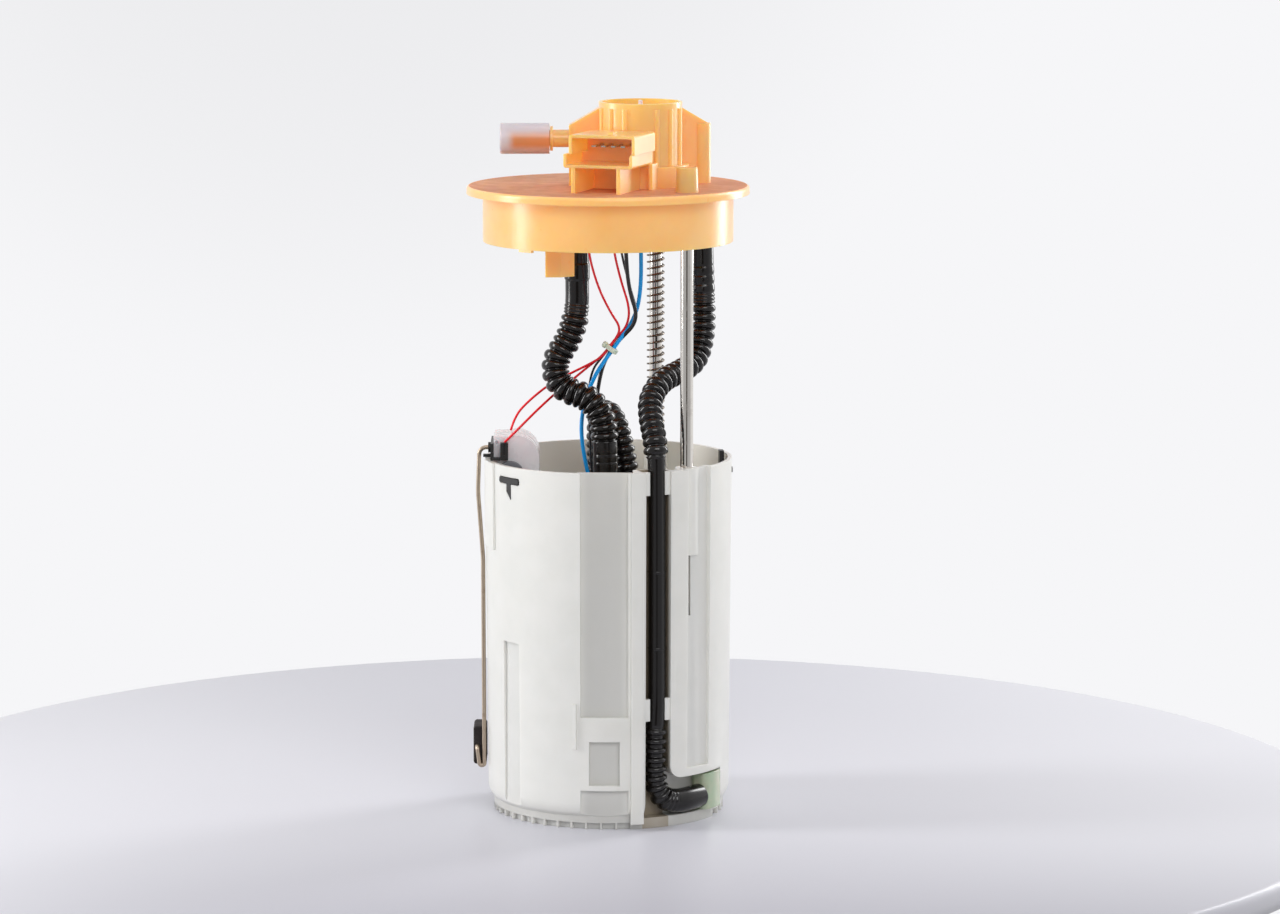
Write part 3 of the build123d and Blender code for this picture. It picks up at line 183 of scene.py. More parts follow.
class Graph:
    """The node tree of one material or world, built by calls."""

    def __init__(self, tree: bpy.types.NodeTree) -> None:
        """Start from an empty tree."""
        self.tree = tree
        tree.nodes.clear()

    def add(
        self, kind: str, settings: Settings | None = None, inputs: Inputs | None = None, output: Any = 0
    ) -> Flow:
        """Add a node.

        Args:
            kind: The node's type name.
            settings: What is set on the node itself.
            inputs: A value or a flow for each input, by name or number.
            output: The name or number of the output that is wanted.

        Returns:
            That output, or the first input of a node without outputs.
        """
        node = self.tree.nodes.new(kind)
        for name, value in (settings or {}).items():
            setattr(node, name, value)
        for name, value in (inputs or {}).items():
            if isinstance(value, Flow):
                self.tree.links.new(value.socket, node.inputs[name])
            else:
                node.inputs[name].default_value = value
        return Flow(self, node.outputs[output] if len(node.outputs) else node.inputs[0])

    @cached_property
    def place(self) -> Flow:
        """Give the point on the surface, in the object's own metres."""
        return self.add("ShaderNodeTexCoord", output="Object")

    def facing(self) -> Flow:
        """Give the direction that the surface faces."""
        return self.add("ShaderNodeNewGeometry", output="Normal")

    def ray(self, kind: str) -> Flow:
        """Give 1 for a ray of one kind, such as Camera, and 0 for any other."""
        return self.add("ShaderNodeLightPath", output=f"Is {kind} Ray")

    def axis(self, name: str, vector: Flow | None = None) -> Flow:
        """Give one part, named X, Y or Z, of a vector or else of the point on the surface."""
        return self.add("ShaderNodeSeparateXYZ", inputs={0: vector or self.place}, output=name)

    def stretched(self, scale: Triple) -> Flow:
        """Scale the point on the surface, each axis by its own number."""
        return self.add("ShaderNodeVectorMath", {"operation": "MULTIPLY"}, {0: self.place, 1: scale})

    def length(self, vector: Flow) -> Flow:
        """Give a vector's length."""
        return self.add("ShaderNodeVectorMath", {"operation": "LENGTH"}, {0: vector}, "Value")

    def dot(self, first: Flow, second: Any) -> Flow:
        """Give the dot product of two vectors."""
        return self.add("ShaderNodeVectorMath", {"operation": "DOT_PRODUCT"}, {0: first, 1: second}, "Value")

    def noise(
        self, scale: float, detail: float = 3.0, roughness: float = 0.5, vector: Flow | None = None
    ) -> Flow:
        """Add fractal noise.

        Args:
            scale: Blobs in a metre.
            detail: Octaves.
            roughness: How strong the small octaves are.
            vector: Where it is read, or else the point on the surface.

        Returns:
            A value near 0.5 that mostly stays between 0 and 1.
        """
        inputs = {"Vector": vector or self.place, "Scale": scale, "Detail": detail, "Roughness": roughness}
        return self.add("ShaderNodeTexNoise", None, inputs, "Fac")

    def blend(self, first: Any, second: Any, share: Any) -> Flow:
        """Mix two colours.

        Args:
            first: The colour at share 0.
            second: The colour at share 1.
            share: A number or a flow.

        Returns:
            The mixed colour.
        """
        ends = {6: first, 7: second}
        inputs = {i: opaque(c) if isinstance(c, tuple) else c for i, c in ends.items()}
        return self.add("ShaderNodeMix", {"data_type": "RGBA"}, {0: share, **inputs}, 2)

    def rounded_edge(self, radius: float) -> Flow:
        """Give the normal of an edge that is eased by a small radius."""
        return self.add("ShaderNodeBevel", {"samples": 4}, {"Radius": radius})

    def bump(self, height: Flow, distance: float, strength: float = 1.0, normal: Flow | None = None) -> Flow:
        """Turn a height into a normal.

        Args:
            height: The height, 0 to 1.
            distance: What a height of 1 is, in metres.
            strength: How much of it shows.
            normal: A normal that the bump starts from.

        Returns:
            The new normal.
        """
        inputs: Inputs = {"Height": height, "Distance": distance, "Strength": strength}
        if normal is not None:
            inputs["Normal"] = normal
        return self.add("ShaderNodeBump", None, inputs)


# ---------- finishes


@dataclass(frozen=True)
class Finish:
    """What every finish has, and how it becomes a material."""

    name: str
    colour: Triple
    roughness: float

    def build(self) -> bpy.types.Material:
        """Make the material.

        Returns:
            The material, with its nodes.
        """
        material = bpy.data.materials.new(self.name)
        material.use_nodes = True
        graph = Graph(material.node_tree)
        inputs = self.surface(graph)
        shader = graph.add("ShaderNodeBsdfPrincipled", None, {**self.steady(), **inputs})
        graph.add("ShaderNodeOutputMaterial", None, {"Surface": shader})
        material.diffuse_color = opaque(self.colour)
        return material

    def steady(self) -> Inputs:
        """Give the shader values that are the same all over."""
        return {}

    def surface(self, graph: Graph) -> Inputs:
        """Give the shader values that change over the surface.

        Args:
            graph: The material's graph.

        Returns:
            A flow for each varying input.
        """
        raise NotImplementedError


@dataclass(frozen=True)
class Moulding(Finish):
    """Injection moulded plastic: slow mottle from the melt, a fine skin and eased edges."""

    deep: Triple = BLACK
    mottle: float = 0.5
    mottle_scale: float = 60.0
    skin_height: float = 0.00002
    skin_scale: float = 900.0
    rub_scale: float = 420.0
    sheen_swing: float = 0.12
    rub_swing: float = 0.06
    edge: float = 0.0003
    glow: float = 0.0
    glow_reach: Triple = (0.004, 0.003, 0.002)
    glow_unit: float = 0.01
    # Painted light: emission in the part's own colour, though the part is no lamp.
    painted_glow_strength: float = 0.0
    clear: float = 0.0
    coat: float = 0.0
    coat_rough: float = 0.12

    def steady(self) -> Inputs:
        """Give subsurface glow, the painted glow of emission, clearness and gloss.

        Returns:
            A value for each input that is the same all over.
        """
        inputs: Inputs = {"IOR": 1.48, "Coat Weight": self.coat, "Coat Roughness": self.coat_rough}
        if self.glow:
            inputs["Subsurface Weight"] = self.glow
            inputs["Subsurface Radius"] = tuple(reach / self.glow_unit for reach in self.glow_reach)
            inputs["Subsurface Scale"] = self.glow_unit
        # Painted light: the part glows in its own colour.
        if self.painted_glow_strength:
            inputs["Emission Color"] = opaque(self.colour)
            inputs["Emission Strength"] = self.painted_glow_strength
        if self.clear:
            inputs["Transmission Weight"] = self.clear
        return inputs

    def hue(self, graph: Graph) -> Flow:
        """Give the colour over the surface.

        Args:
            graph: The material's graph.

        Returns:
            The colour.
        """
        cloud = graph.noise(self.mottle_scale, 4.0).step(0.3, 0.75)
        return graph.blend(self.colour, self.deep, cloud * self.mottle)

    def surface(self, graph: Graph) -> Inputs:
        """Give colour, roughness and skin.

        Args:
            graph: The material's graph.

        Returns:
            A flow for each varying input.
        """
        skin = graph.noise(self.skin_scale, 2.0, 0.6)
        sheen = graph.noise(self.mottle_scale * 2.3)
        rub = graph.noise(self.rub_scale, 2.0, vector=graph.stretched((1.0, 1.0, 0.2)))
        eased = graph.rounded_edge(self.edge)
        return {
            "Base Color": self.hue(graph),
            "Roughness": (sheen - 0.5) * self.sheen_swing + (rub - 0.5) * self.rub_swing + self.roughness,
            "Normal": graph.bump(skin, self.skin_height, 0.6, eased),
        }


@dataclass(frozen=True)
class CupMoulding(Moulding):
    """Natural acetal of the cup, with painted light making it creamy inside and painted shade making it a
    touch greyer where the wall is thinner, towards the bottom and deep in the hose's channel.
    """

    # Painted light: a creamy tone on the faces that look inwards, for light bounced inside the cup.
    painted_inner_tone: Triple = BLACK
    painted_inner_share: float = 0.7
    # Painted shade: greyer on the thinner recessed panels and towards the bottom.
    painted_wall_shade: Triple = BLACK
    painted_thin_share: float = 0.55
    foot_share: float = 0.25
    # Painted shade deep in the hose's channel.
    painted_channel_shade: Triple = BLACK
    painted_channel_shade_share: float = 0.85
    wall_radius: float = 0.0592
    recess: float = 0.0012
    foot_height: float = 0.02
    channel_turn: float = 23.8
    channel_half: float = 0.0072
    channel_slope: float = 0.0004
    channel_floor: float = 0.047
    channel_fade: float = 0.003

    def hue(self, graph: Graph) -> Flow:
        """Give the colour, with painted light and shade by which way the wall faces and how deep it is set.

        Args:
            graph: The material's graph.

        Returns:
            The colour.
        """
        shell = super().hue(graph)
        flat = graph.stretched((1.0, 1.0, 0.0))
        outward = graph.dot(flat, graph.facing())
        inner = outward.step(0.0, -0.02)
        set_in = graph.length(flat).step(self.wall_radius, self.wall_radius - self.recess)
        low = graph.axis("Z").step(self.foot_height, 0.0)
        # Painted shade on the thinner recessed panels that face out, and towards the bottom.
        painted_thin_panel = set_in * outward.step(0.03, 0.05) * self.painted_thin_share
        shaded = graph.blend(shell, self.painted_wall_shade, painted_thin_panel + low * self.foot_share)
        # Painted light: the creamy tone on the faces that look inwards.
        with_painted_inner = graph.blend(shaded, self.painted_inner_tone, inner * self.painted_inner_share)
        # Painted shade, brownish, deep in the hose's channel.
        return graph.blend(with_painted_inner, self.painted_channel_shade, self._in_channel(graph) * self.painted_channel_shade_share)

    def _in_channel(self, graph: Graph) -> Flow:
        """Give 1 deep in the hose's channel, where shade is painted on the acetal, and 0 elsewhere.

        Args:
            graph: The material's graph.

        Returns:
            The mask.
        """
        turn = math.radians(self.channel_turn)
        x, y = graph.axis("X"), graph.axis("Y")
        aside = (x * math.cos(turn) + y * math.sin(turn)).size()
        outwards = x * math.sin(turn) - y * math.cos(turn)
        mouth = outwards.step(self.wall_radius, self.wall_radius - self.channel_fade)
        floor = outwards.step(self.channel_floor, self.channel_floor + self.channel_fade / 2)
        sides = aside.step(self.channel_half, self.channel_half - self.channel_slope)
        return sides * (mouth * floor)


@dataclass(frozen=True)
class FlangeMoulding(Moulding):
    """Orange acetal of the flange: its disc is matt on top and darkened there with painted shade, and the
    part carries a painted glow.
    """

    # Painted shade on the disc's top face, for a darker reflection there.
    painted_top_shade: Triple = BLACK
    painted_top_shade_share: float = 0.8
    worn_dull: float = 0.28
    patch_scale: float = 130.0
    patch_share: float = 0.15
    patch_dull: float = 0.12
    # Share of the painted glow taken away above the disc's top.
    upper_dim: float = 0.55
    disc_top: float = 0.313
    band: float = 0.0004

    def _on_disc(self, graph: Graph) -> Flow:
        """Give 1 on the disc's top face and 0 elsewhere.

        Args:
            graph: The material's graph.

        Returns:
            The mask.
        """
        height = graph.axis("Z")
        above = height.step(self.disc_top - 2 * self.band, self.disc_top - self.band)
        below = height.step(self.disc_top + 2 * self.band, self.disc_top + self.band)
        upward = graph.axis("Z", graph.facing()).step(0.9, 0.98)
        return above * below * upward

    def surface(self, graph: Graph) -> Inputs:
        """Give colour with painted shade on the disc's top, roughness, gloss, skin and the colour of the
        painted glow.

        Args:
            graph: The material's graph.

        Returns:
            A flow for each varying input.
        """
        inputs = super().surface(graph)
        top = self._on_disc(graph)
        patchy = graph.noise(self.patch_scale).step(0.35, 0.65)
        # Painted shade darkens the disc's top face, in patches.
        share = top * (patchy * self.patch_share + self.painted_top_shade_share)
        inputs["Base Color"] = graph.blend(inputs["Base Color"], self.painted_top_shade, share)
        inputs["Roughness"] = inputs["Roughness"] + top * (patchy * self.patch_dull + self.worn_dull)
        inputs["Coat Weight"] = (1.0 - top) * self.coat
        upper = graph.axis("Z").step(self.disc_top, self.disc_top + self.band)
        # Painted glow: cut off on the disc's top face and dimmed above it.
        inputs["Emission Color"] = graph.blend(self.colour, BLACK, top.largest(upper * self.upper_dim))
        return inputs


@dataclass(frozen=True)
class CapMoulding(Moulding):
    """Milky polythene of the transport cap, with a painted warm glow where the nipple shows through its wall.
    """

    # Painted light: the warm glow of the nipple seen through the wall.
    painted_nipple_glow: Triple = BLACK
    core_height: float = 0.3349
    core_reach: float = 0.0062
    core_middle: float = 0.001
    core_end: float = -0.0503
    core_fade: float = 0.005

    def hue(self, graph: Graph) -> Flow:
        """Give the colour, with the painted glow of the nipple by how much wall there is in front of it.

        Args:
            graph: The material's graph.

        Returns:
            The colour.
        """
        off = (graph.axis("Z") - self.core_height).size()
        near = off.step(self.core_reach, self.core_middle)
        along = graph.axis("X").step(self.core_end, self.core_end + self.core_fade)
        # Painted glow of the nipple, strongest where little wall lies in front of it.
        return graph.blend(super().hue(graph), self.painted_nipple_glow, near * along)


@dataclass(frozen=True)
class Metal(Finish):
    """Drawn or ground steel: fine lines along one axis, small stains and rubbed places."""

    stain: Triple = BLACK
    stain_share: float = 0.3
    lines: Triple = (1.0, 1.0, 0.05)
    line_scale: float = 2600.0
    line_height: float = 0.000012
    line_swing: float = 0.14
    stain_scale: float = 160.0
    stain_dull: float = 0.16
    edge: float = 0.00015

    def surface(self, graph: Graph) -> Inputs:
        """Give the colour of the metal, its stains and its lines.

        Args:
            graph: The material's graph.

        Returns:
            A flow for each varying input.
        """
        line = graph.noise(self.line_scale, 2.0, 0.7, graph.stretched(self.lines))
        spots = graph.noise(self.stain_scale, 5.0, 0.65).step(0.48, 0.72)
        return {
            "Base Color": graph.blend(self.colour, self.stain, spots * self.stain_share),
            "Metallic": 1.0 - spots * (self.stain_share * 0.3),
            "Roughness": spots * self.stain_dull + (line - 0.5) * self.line_swing + self.roughness,
            "Normal": graph.bump(line, self.line_height, 0.7, graph.rounded_edge(self.edge)),
        }


@dataclass(frozen=True)
class Jacket(Finish):
    """Extruded nylon or PVC: glossy, with faint draw lines and a little dust in the hollows."""

    dust: Triple = BLACK
    dust_share: float = 0.1
    dust_dull: float = 0.25
    grain: float = 1500.0
    finer: float = 2.5
    drift_scale: float = 70.0
    coat: float = 0.1

    def steady(self) -> Inputs:
        """Give the gloss of the skin."""
        return {"IOR": 1.5, "Coat Weight": self.coat, "Coat Roughness": 0.1}

    def surface(self, graph: Graph) -> Inputs:
        """Give the colour, the dust and the draw lines.

        Args:
            graph: The material's graph.

        Returns:
            A flow for each varying input.
        """
        specks = graph.noise(self.grain, 4.0, 0.7).step(0.5, 0.8)
        drift = graph.noise(self.drift_scale).step(0.4, 0.75)
        upward = graph.axis("Z", graph.facing()).step(0.1, 0.95)
        settled = (specks * 0.6 + drift * 0.4) * (upward * 0.7 + 0.3)
        fine = graph.noise(self.grain * self.finer, 2.0)
        return {
            "Base Color": graph.blend(self.colour, self.dust, settled * self.dust_share),
            "Roughness": settled * self.dust_dull + self.roughness,
            "Normal": graph.bump(fine, 0.00002, 0.5),
        }


@dataclass(frozen=True)
class Foam(Finish):
    """Closed-cell rubber foam of the float: matt black with a skin of tiny pores."""

    pore: float = 1500.0
    bloom: Triple = tint(84, 74, 70)
    bloom_scale: float = 120.0
    bloom_share: float = 0.35
    bloom_shine: float = 0.15

    def surface(self, graph: Graph) -> Inputs:
        """Give the pores and the chalky bloom on the skin.

        Args:
            graph: The material's graph.

        Returns:
            A flow for each varying input.
        """
        inputs = {"Vector": graph.place, "Scale": self.pore}
        pores = graph.add("ShaderNodeTexVoronoi", None, inputs, "Distance").step(0.15, 0.5)
        bloom = graph.noise(self.bloom_scale, 4.0).step(0.4, 0.8)
        return {
            "Base Color": graph.blend(self.colour, self.bloom, bloom * self.bloom_share),
            "Roughness": self.roughness - bloom * self.bloom_shine,
            "Normal": graph.bump(pores, 0.00008, 0.7),
        }


@dataclass(frozen=True)
class Weave(Finish):
    """Fine nylon mesh of the strainer, woven over and under."""

    pitch: float = 0.0006
    # Painted shade in the hollows between the threads.
    painted_hollow_shade: Triple = tint(120, 118, 104)
    crown_shine: float = 0.2

    def surface(self, graph: Graph) -> Inputs:
        """Give the two sets of threads, with painted shade in the hollows between them.

        Args:
            graph: The material's graph.

        Returns:
            A flow for each varying input.
        """
        turn = 2 * math.pi / self.pitch
        warp, weft = ((graph.axis(name) * turn).sine().size() for name in "XY")
        thread = warp.largest(weft)
        return {
            "Base Color": graph.blend(self.painted_hollow_shade, self.colour, thread),
            "Roughness": self.roughness - thread * self.crown_shine,
            "Normal": graph.bump(thread, 0.0001, 0.8),
        }


@dataclass(frozen=True)
class Printed(Finish):
    """Ceramic card with printed resistor tracks across it."""

    track: Triple = BLACK
    track_pitch: float = 0.002
    track_share: float = 0.8
    grit_scale: float = 1800.0
    grit_swing: float = 0.2

    def surface(self, graph: Graph) -> Inputs:
        """Give the ceramic and the dark arcs of the tracks.

        Args:
            graph: The material's graph.

        Returns:
            A flow for each varying input.
        """
        across = graph.length(graph.stretched((0.0, 1.0, 1.0)))
        bars = (across * (2 * math.pi / self.track_pitch)).sine().step(0.1, 0.3)
        grit = graph.noise(self.grit_scale)
        return {
            "Base Color": graph.blend(self.colour, self.track, bars * self.track_share),
            "Roughness": (grit - 0.5) * self.grit_swing + self.roughness,
            "Normal": graph.bump(grit, 0.00002, 0.5, graph.rounded_edge(0.0002)),
        }


@dataclass(frozen=True)
class TableTop(Finish):
    """Pale satin of the table, with painted light brighter at its sides and painted shade at the front left.
    """

    # Painted light towards the sides, and painted shade at the front left.
    painted_bright_sides: Triple = BLACK
    shaded: Triple = BLACK
    grain: float = 900.0
    grain_swing: float = 0.05

    def steady(self) -> Inputs:
        """Give the satin's gloss."""
        return {"IOR": 1.4}

    def surface(self, graph: Graph) -> Inputs:
        """Give the base tone, the painted light at the sides, the painted shade at the front left and a fine
        grain.

        Args:
            graph: The material's graph.

        Returns:
            A flow for each varying input.
        """
        x, y = graph.axis("X"), graph.axis("Y")
        # Painted light towards the sides, painted shade at the front left.
        level = graph.blend(self.colour, self.painted_bright_sides, x.size().step(0.05, 0.35))
        front = y.step(-0.04, -0.4) * x.step(-0.4, -0.1)
        grit = graph.noise(self.grain, 2.0)
        return {
            "Base Color": graph.blend(level, self.shaded, front),
            "Roughness": (grit - 0.5) * self.grain_swing + self.roughness,
        }


class Palette:
    """Every finish of the module, built once each."""

    FINISHES: tuple[Finish, ...] = (
        FlangeMoulding("orange_acetal", tint(255, 190, 120), 0.3, deep=tint(254, 178, 98), mottle=0.55,
                       painted_top_shade=tint(202, 138, 102), glow=0.85, glow_reach=(0.011, 0.006, 0.0018), painted_glow_strength=0.14,
                       edge=0.00045, coat=0.6, coat_rough=0.28),
        CupMoulding("cup_acetal", tint(233, 232, 226), 0.36, deep=tint(224, 224, 217), glow=0.3,
                    painted_inner_tone=tint(228, 226, 216), painted_wall_shade=tint(190, 189, 184), painted_channel_shade=tint(150, 134, 108),
                    glow_reach=(0.006, 0.0055, 0.005), edge=0.0004, coat=0.1),
        Moulding("white_housing", tint(238, 232, 234), 0.28, deep=tint(222, 212, 218), mottle=0.6,
                 glow=0.5, glow_reach=(0.008, 0.005, 0.005), coat=0.2),
        CapMoulding("milky_cap", tint(250, 242, 246), 0.34, deep=tint(244, 236, 242), mottle=0.4,
                    painted_nipple_glow=tint(255, 178, 118), clear=0.45, glow=0.3, edge=0.0002),
        Moulding("green_fitting", tint(208, 212, 184), 0.22, deep=tint(160, 210, 172), mottle=0.6,
                 mottle_scale=90.0, clear=0.3, glow=0.2, glow_reach=(0.004, 0.006, 0.004), coat=0.2),
        Moulding("tie_nylon", tint(226, 238, 214), 0.35, deep=tint(206, 224, 194), mottle=0.4,
                 glow=0.3, edge=0.00015, mottle_scale=200.0),
        Moulding("black_moulding", tint(30, 29, 30), 0.4, deep=tint(48, 46, 46), mottle=0.45,
                 skin_height=0.00004, edge=0.0002),
        Moulding("black_elastomer", tint(26, 25, 25), 0.62, deep=tint(44, 42, 40), skin_height=0.00006),
        Moulding("grey_moulding", tint(118, 120, 126), 0.45, deep=tint(98, 100, 108)),
        Metal("polished_rod", tint(226, 222, 216), 0.08, stain=tint(120, 104, 90), stain_share=0.2,
              lines=EVEN, line_height=0.000004),
        Metal("spring_wire", tint(112, 102, 92), 0.24, stain=tint(48, 40, 32), stain_share=0.45, lines=EVEN),
        Metal("arm_wire", tint(186, 170, 152), 0.34, stain=tint(120, 98, 76), stain_share=0.4),
        Metal("rolled_can", tint(190, 190, 188), 0.3, stain=tint(130, 126, 118)),
        Metal("cast_alloy", tint(172, 172, 170), 0.5, stain=tint(120, 120, 118), lines=EVEN,
              line_scale=1500.0, line_height=0.00005),
        Metal("tinned_blade", tint(206, 200, 186), 0.25, stain=tint(150, 132, 96)),
        Jacket("hose_nylon", tint(14, 11, 11), 0.17, dust=tint(50, 42, 40), dust_share=0.08, grain=700.0,
               coat=0.0),
        Jacket("red_jacket", tint(236, 14, 34), 0.3, dust=tint(196, 70, 78)),
        Jacket("black_jacket", tint(22, 21, 23), 0.25, dust=tint(80, 78, 80), dust_share=0.25, coat=0.3),
        Jacket("blue_jacket", tint(0, 170, 255), 0.3, dust=tint(90, 150, 190)),
        Foam("float_foam", tint(34, 29, 28), 0.9),
        Weave("strainer_mesh", tint(222, 220, 206), 0.75),
        Printed("ceramic_card", tint(214, 214, 208), 0.55, track=tint(46, 42, 40)),
    )

    def __init__(self) -> None:
        """Build the materials."""
        self.made = {finish.name: finish.build() for finish in self.FINISHES}

    def __getitem__(self, name: str) -> bpy.types.Material:
        """Give a material by its finish's name."""
        return self.made[name]


# ---------- mesh helpers


def add_object(name: str, data: bpy.types.ID) -> bpy.types.Object:
    """Add an object to the scene.

    Args:
        name: Its name.
        data: The mesh, curve, lamp or camera that it shows.

    Returns:
        The new object.
    """
    made = bpy.data.objects.new(name, data)
    bpy.context.scene.collection.objects.link(made)
    return made


def piece_from(
    name: str, mesh: bmesh.types.BMesh, material: bpy.types.Material, smooth: bool = True
) -> bpy.types.Object:
    """Turn a bmesh into a scene object.

    Args:
        name: The piece's name.
        mesh: The mesh, in metres. It is freed.
        material: Its finish.
        smooth: Whether its faces are shaded smooth.

    Returns:
        The new object.
    """
    bmesh.ops.recalc_face_normals(mesh, faces=mesh.faces)
    data = bpy.data.meshes.new(name)
    mesh.to_mesh(data)
    mesh.free()
    for face in data.polygons:
        face.use_smooth = smooth
    data.materials.append(material)
    return add_object(name, data)


def smooth_line(points: Sequence[Triple], fineness: int = 24) -> list[Vector]:
    """Read a smooth line through a route.

    Args:
        points: The route's control points, in millimetres.
        fineness: How many points each span of the line gets.

    Returns:
        Points along the route's NURBS spline, in metres.
    """
    data = bpy.data.curves.new("route", "CURVE")
    data.dimensions = "3D"
    data.resolution_u = fineness
    spline = data.splines.new("NURBS")
    spline.points.add(len(points) - 1)
    for point, place in zip(spline.points, points):
        point.co = (*metres(place), 1.0)
    spline.order_u = 3
    spline.use_endpoint_u = True
    holder = add_object("route", data)
    bpy.context.view_layer.update()
    mesh = bpy.data.meshes.new_from_object(holder)
    line = [vertex.co.copy() for vertex in mesh.vertices]
    bpy.data.objects.remove(holder)
    bpy.data.curves.remove(data)
    bpy.data.meshes.remove(mesh)
    return line


@dataclass
class Path:
    """A line measured by its own length, with frames that don't twist.

    A direction is read over direction_share of the length, to each side of the point.
    """

    points: list[Vector]
    marks: list[float] = field(init=False)
    direction_share: float = 1 / 400

    def __post_init__(self) -> None:
        """Add up the length at each point."""
        self.marks = [0.0]
        for before, after in zip(self.points, self.points[1:]):
            self.marks.append(self.marks[-1] + (after - before).length)

    @property
    def length(self) -> float:
        """Give the whole length."""
        return self.marks[-1]

    def at(self, distance: float) -> Vector:
        """Give the point at a distance from the start.

        Args:
            distance: Metres along the line.

        Returns:
            The point.
        """
        distance = min(max(distance, 0.0), self.length)
        last = len(self.marks) - 2
        index = next((i for i, mark in enumerate(self.marks[1:]) if mark >= distance), last)
        span = self.marks[index + 1] - self.marks[index]
        share = (distance - self.marks[index]) / span if span else 0.0
        return self.points[index].lerp(self.points[index + 1], share)

    def frames(self, steps: Sequence[float]) -> list[Frame]:
        """Give a place and two side directions at each step.

        Args:
            steps: Distances along the line, growing.

        Returns:
            For each step the point and two unit vectors across the line.
        """
        reach = self.length * self.direction_share
        made = []
        side = None
        for step in steps:
            ahead = (self.at(step + reach) - self.at(step - reach)).normalized()
            if side is None:
                side = ahead.orthogonal().normalized()
            side = (side - ahead * side.dot(ahead)).normalized()
            made.append((self.at(step), side, ahead.cross(side)))
        return made


def join_rings(mesh: bmesh.types.BMesh, pairs: Iterable[tuple[Ring, Ring]]) -> None:
    """Put faces between rings of vertices.

    Args:
        mesh: The mesh that grows.
        pairs: Each ring with the ring that follows it.
    """
    for ring, following in pairs:
        for i, start in enumerate(ring):
            j = (i + 1) % len(ring)
            mesh.faces.new((start, ring[j], following[j], following[i]))


def tube(frames: Iterable[Frame], radii: Iterable[float], sides: int) -> bmesh.types.BMesh:
    """Build a closed tube.

    Args:
        frames: The centre of each ring and two directions across it.
        radii: The radius of each ring.
        sides: Points in a ring.

    Returns:
        The mesh.
    """
    mesh = bmesh.new()
    turns = [2 * math.pi * i / sides for i in range(sides)]
    rings = []
    for (centre, side, up), radius in zip(frames, radii):
        spokes = (side * math.cos(turn) + up * math.sin(turn) for turn in turns)
        rings.append([mesh.verts.new(centre + spoke * radius) for spoke in spokes])
    join_rings(mesh, zip(rings, rings[1:]))
    mesh.faces.new(list(reversed(rings[0])))
    mesh.faces.new(rings[-1])
    return mesh


# ---------- cords


class Body(Enum):
    """The two bodies that the hoses, wires and spring lie between."""

    RESERVOIR = "reservoir"
    FLANGE = "flange"


@dataclass(frozen=True)
class Fold:
    """Two points of a piece between the cup and the flange: low by the cup, high by the flange."""

    low: Triple
    high: Triple

    def apply(self, piece: bpy.types.Object) -> None:
        """Bake the piece's placement into its mesh; the low and high points are not used."""
        start, end = metres(self.low), metres(self.high)
        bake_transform(piece)


@dataclass(frozen=True)
class Cord:
    """A hose or a wire: what it is called and made of, its route and how finely it is drawn."""

    name: str
    size: float
    route: tuple[Triple, ...]
    finish: str
    slot: str
    fold: Fold | None = None
    ending: str = ""
    stiffness: str = ""
    sides: int = 0
    fine_step: float = 1.0

    def radius(self, distance: float) -> float:
        """Give the radius at a distance along the cord, both in millimetres."""
        return self.size / 2

    def build(self, palette: Palette) -> None:
        """Make the cord, hide the CAD node it stands for, and hang it on the cup's body or bake it in place.

        Args:
            palette: The finishes.
        """
        path = Path(smooth_line(self.route))
        count = round(path.length / (self.fine_step * MM))
        steps = [path.length * i / count for i in range(count + 1)]
        mesh = tube(path.frames(steps), [MM * self.radius(step / MM) for step in steps], self.sides)
        piece = piece_from(f"{self.name}_{self.ending}", mesh, palette[self.finish])
        centres = [path.at(step) for step in steps]
        length = Path(centres).length
        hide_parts(self.name)
        if self.fold is None:
            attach(piece, Body.RESERVOIR.value)
        else:
            self.fold.apply(piece)
        LOG.info("%s: %.1f mm of %.1f mm", piece.name, length / MM, self.size)


@dataclass(frozen=True)
class Stretch:
    """One length of hose with its own look, from one distance to another in millimetres."""

    start: float
    crest: float
    valley: float = 0.0
    pitch: float = 0.0
    ring_share: float = 0.86

    def radius(self, distance: float) -> float:
        """Give the radius at a distance along the hose.

        Args:
            distance: Millimetres from the hose's start.

        Returns:
            The radius in millimetres.
        """
        if not self.pitch:
            return self.crest
        share = ((distance - self.start) / self.pitch) % 1.0
        off_crest = min(abs(share - 0.5) * 2 / self.ring_share, 1.0)
        return self.valley + (self.crest - self.valley) * math.sqrt(1 - off_crest**2)


@dataclass(frozen=True)
class Hose(Cord):
    """A corrugated nylon hose, moulded in stretches of different look."""

    finish: str = "hose_nylon"
    slot: str = "hose_black"
    ending: str = "corrugated"
    stiffness: str = "stiff"
    sides: int = 32
    fine_step: float = 0.32
    stretches: tuple[Stretch, ...] = ()
    ease: float = 0.8

    def radius(self, distance: float) -> float:
        """Give the radius at a distance, eased where two stretches meet.

        Args:
            distance: Millimetres from the hose's start.

        Returns:
            The radius in millimetres.
        """
        for stretch, following in zip(self.stretches, self.stretches[1:]):
            if distance < following.start:
                here = stretch.radius(distance)
                left = following.start - distance
                if left < self.ease:
                    share = left / self.ease
                    return here * share + following.radius(following.start) * (1 - share)
                return here
        return self.stretches[-1].radius(distance)


CUP_FOLD = Fold(low=(-15.0, -2.0, 125.0), high=(-15.0, -2.0, 286.0))
RETURN_FOLD = Fold(low=(22.2, -50.4, 174.0), high=(46.5, 12.0, 291.0))
WIRE_FOLD = Fold(low=(-52.0, 0.0, 185.0), high=(-11.0, -17.0, 304.0))

